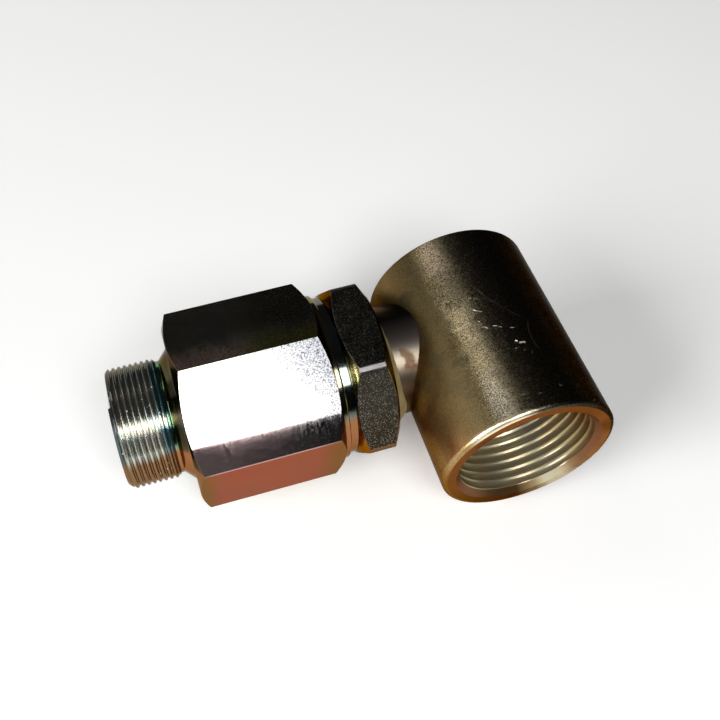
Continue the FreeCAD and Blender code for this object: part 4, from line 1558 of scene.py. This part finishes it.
# Camera, from the photograph's own perspective
camera = {
    "place": (9.75, -120.2, 189.5),
    "azimuth": 14.76,
    "elevation": -53.12,
    "roll": -1.95,
    "focalPixels": 937.65,
    "framePixels": 720,
    "centrePixels": (310.99, 320.30),
    "sensor": 36,
    "nearest": 0.01,
    "farthest": 20,
}
eye = bpy.data.objects.new("camera", bpy.data.cameras.new("camera"))
bpy.context.scene.collection.objects.link(eye)
eye.location = Vector(camera["place"]) * mm
tilt = Euler((math.radians(90 + camera["elevation"]), 0, math.radians(-camera["azimuth"]))).to_matrix()
eye.rotation_euler = (tilt @ Euler((0, 0, math.radians(camera["roll"]))).to_matrix()).to_euler()
eye.data.sensor_width = camera["sensor"]
eye.data.lens = camera["focalPixels"] / camera["framePixels"] * camera["sensor"]
eye.data.shift_x = 0.5 - camera["centrePixels"][0] / camera["framePixels"]
eye.data.shift_y = camera["centrePixels"][1] / camera["framePixels"] - 0.5
eye.data.clip_start = camera["nearest"]
eye.data.clip_end = camera["farthest"]
bpy.context.scene.camera = eye
print("camera set")

# Floor, lights and world
stage = {
    "floorColour": (0.93, 0.93, 0.92),
    "floorSize": 3.0,
    "floorRoughness": 0.9,
    "floorLift": 0.22,
    "worldColour": (0.9, 0.93, 1.0),
    "worldStrength": 0.015,
}
floorMesh = bpy.data.meshes.new("floor")
half = stage["floorSize"] / 2
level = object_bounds()[0].z
corners = [(-half, -half, level), (half, -half, level), (half, half, level), (-half, half, level)]
floorMesh.from_pydata(corners, [], [(0, 1, 2, 3)])
floor = bpy.data.objects.new("floor", floorMesh)
bpy.context.scene.collection.objects.link(floor)
floorPaint = bpy.data.materials.new("floorPaint")
floorPaint.use_nodes = True
floorShader = floorPaint.node_tree.nodes["Principled BSDF"]
floorShader.inputs["Base Color"].default_value = (*stage["floorColour"], 1)
floorShader.inputs["Roughness"].default_value = stage["floorRoughness"]
floorTree = floorPaint.node_tree
seenBy = floorTree.nodes.new("ShaderNodeLightPath").outputs
lifted = calc(floorTree, "ADD", seenBy["Is Camera Ray"], seenBy["Is Glossy Ray"])
lifted = calc(floorTree, "ADD", lifted, seenBy["Is Transmission Ray"], clamp=True)
feed(floorTree, floorShader.inputs["Emission Strength"], times(floorTree, lifted, stage["floorLift"]))
floorMesh.materials.append(floorPaint)

world = bpy.data.worlds.new("studio")
bpy.context.scene.world = world
world.use_nodes = True
background = world.node_tree.nodes["Background"]
background.inputs["Color"].default_value = (*stage["worldColour"], 1)
background.inputs["Strength"].default_value = stage["worldStrength"]

# The key's lower edge shows in the front flat as the straight end of its bright patch.
# What a lamp faces is given in millimetres, its distance, shift and size in metres.
lamps = {
    "key": {"from": (30, 0, 0), "towards": (0.0294, -0.629, 0.7745), "distance": 0.5095,
            "shift": (0.030, -0.0012), "roll": -2.75, "size": (0.18, 0.217), "power": 1.08},
    "side": {"from": (30, 0, 0), "towards": (-0.85, -0.25, 0.47), "distance": 1.4,
             "size": (0.9, 0.75), "power": 22.0},
    "streak": {"from": (82, -5, 20), "towards": (-0.323, 0.55, 0.77), "distance": 1.5,
               "size": (0.24, 0.6), "power": 1.1},
    "fill": {"from": (88, 0, 0), "towards": (-0.80, 0.52, 0.25), "distance": 0.9,
             "size": (0.6, 0.4), "power": 0.35},
}
for name, lamp in lamps.items():
    light = bpy.data.lights.new(name, "AREA")
    light.shape = "RECTANGLE"
    light.size, light.size_y = lamp["size"]
    light.energy = lamp["power"]
    holder = bpy.data.objects.new(name, light)
    away = Vector(lamp["towards"]).normalized()
    facing = away.to_track_quat("Z", "Y")
    aside = facing @ Vector((*lamp.get("shift", (0, 0)), 0))
    holder.location = Vector(lamp["from"]) * mm + away * lamp["distance"] + aside
    roll = Matrix.Rotation(math.radians(lamp.get("roll", 0)), 3, "Z")
    holder.rotation_euler = (facing.to_matrix() @ roll).to_euler()
    bpy.context.scene.collection.objects.link(holder)
print("lights set")

scene = bpy.context.scene
scene.view_settings.view_transform = "Standard"
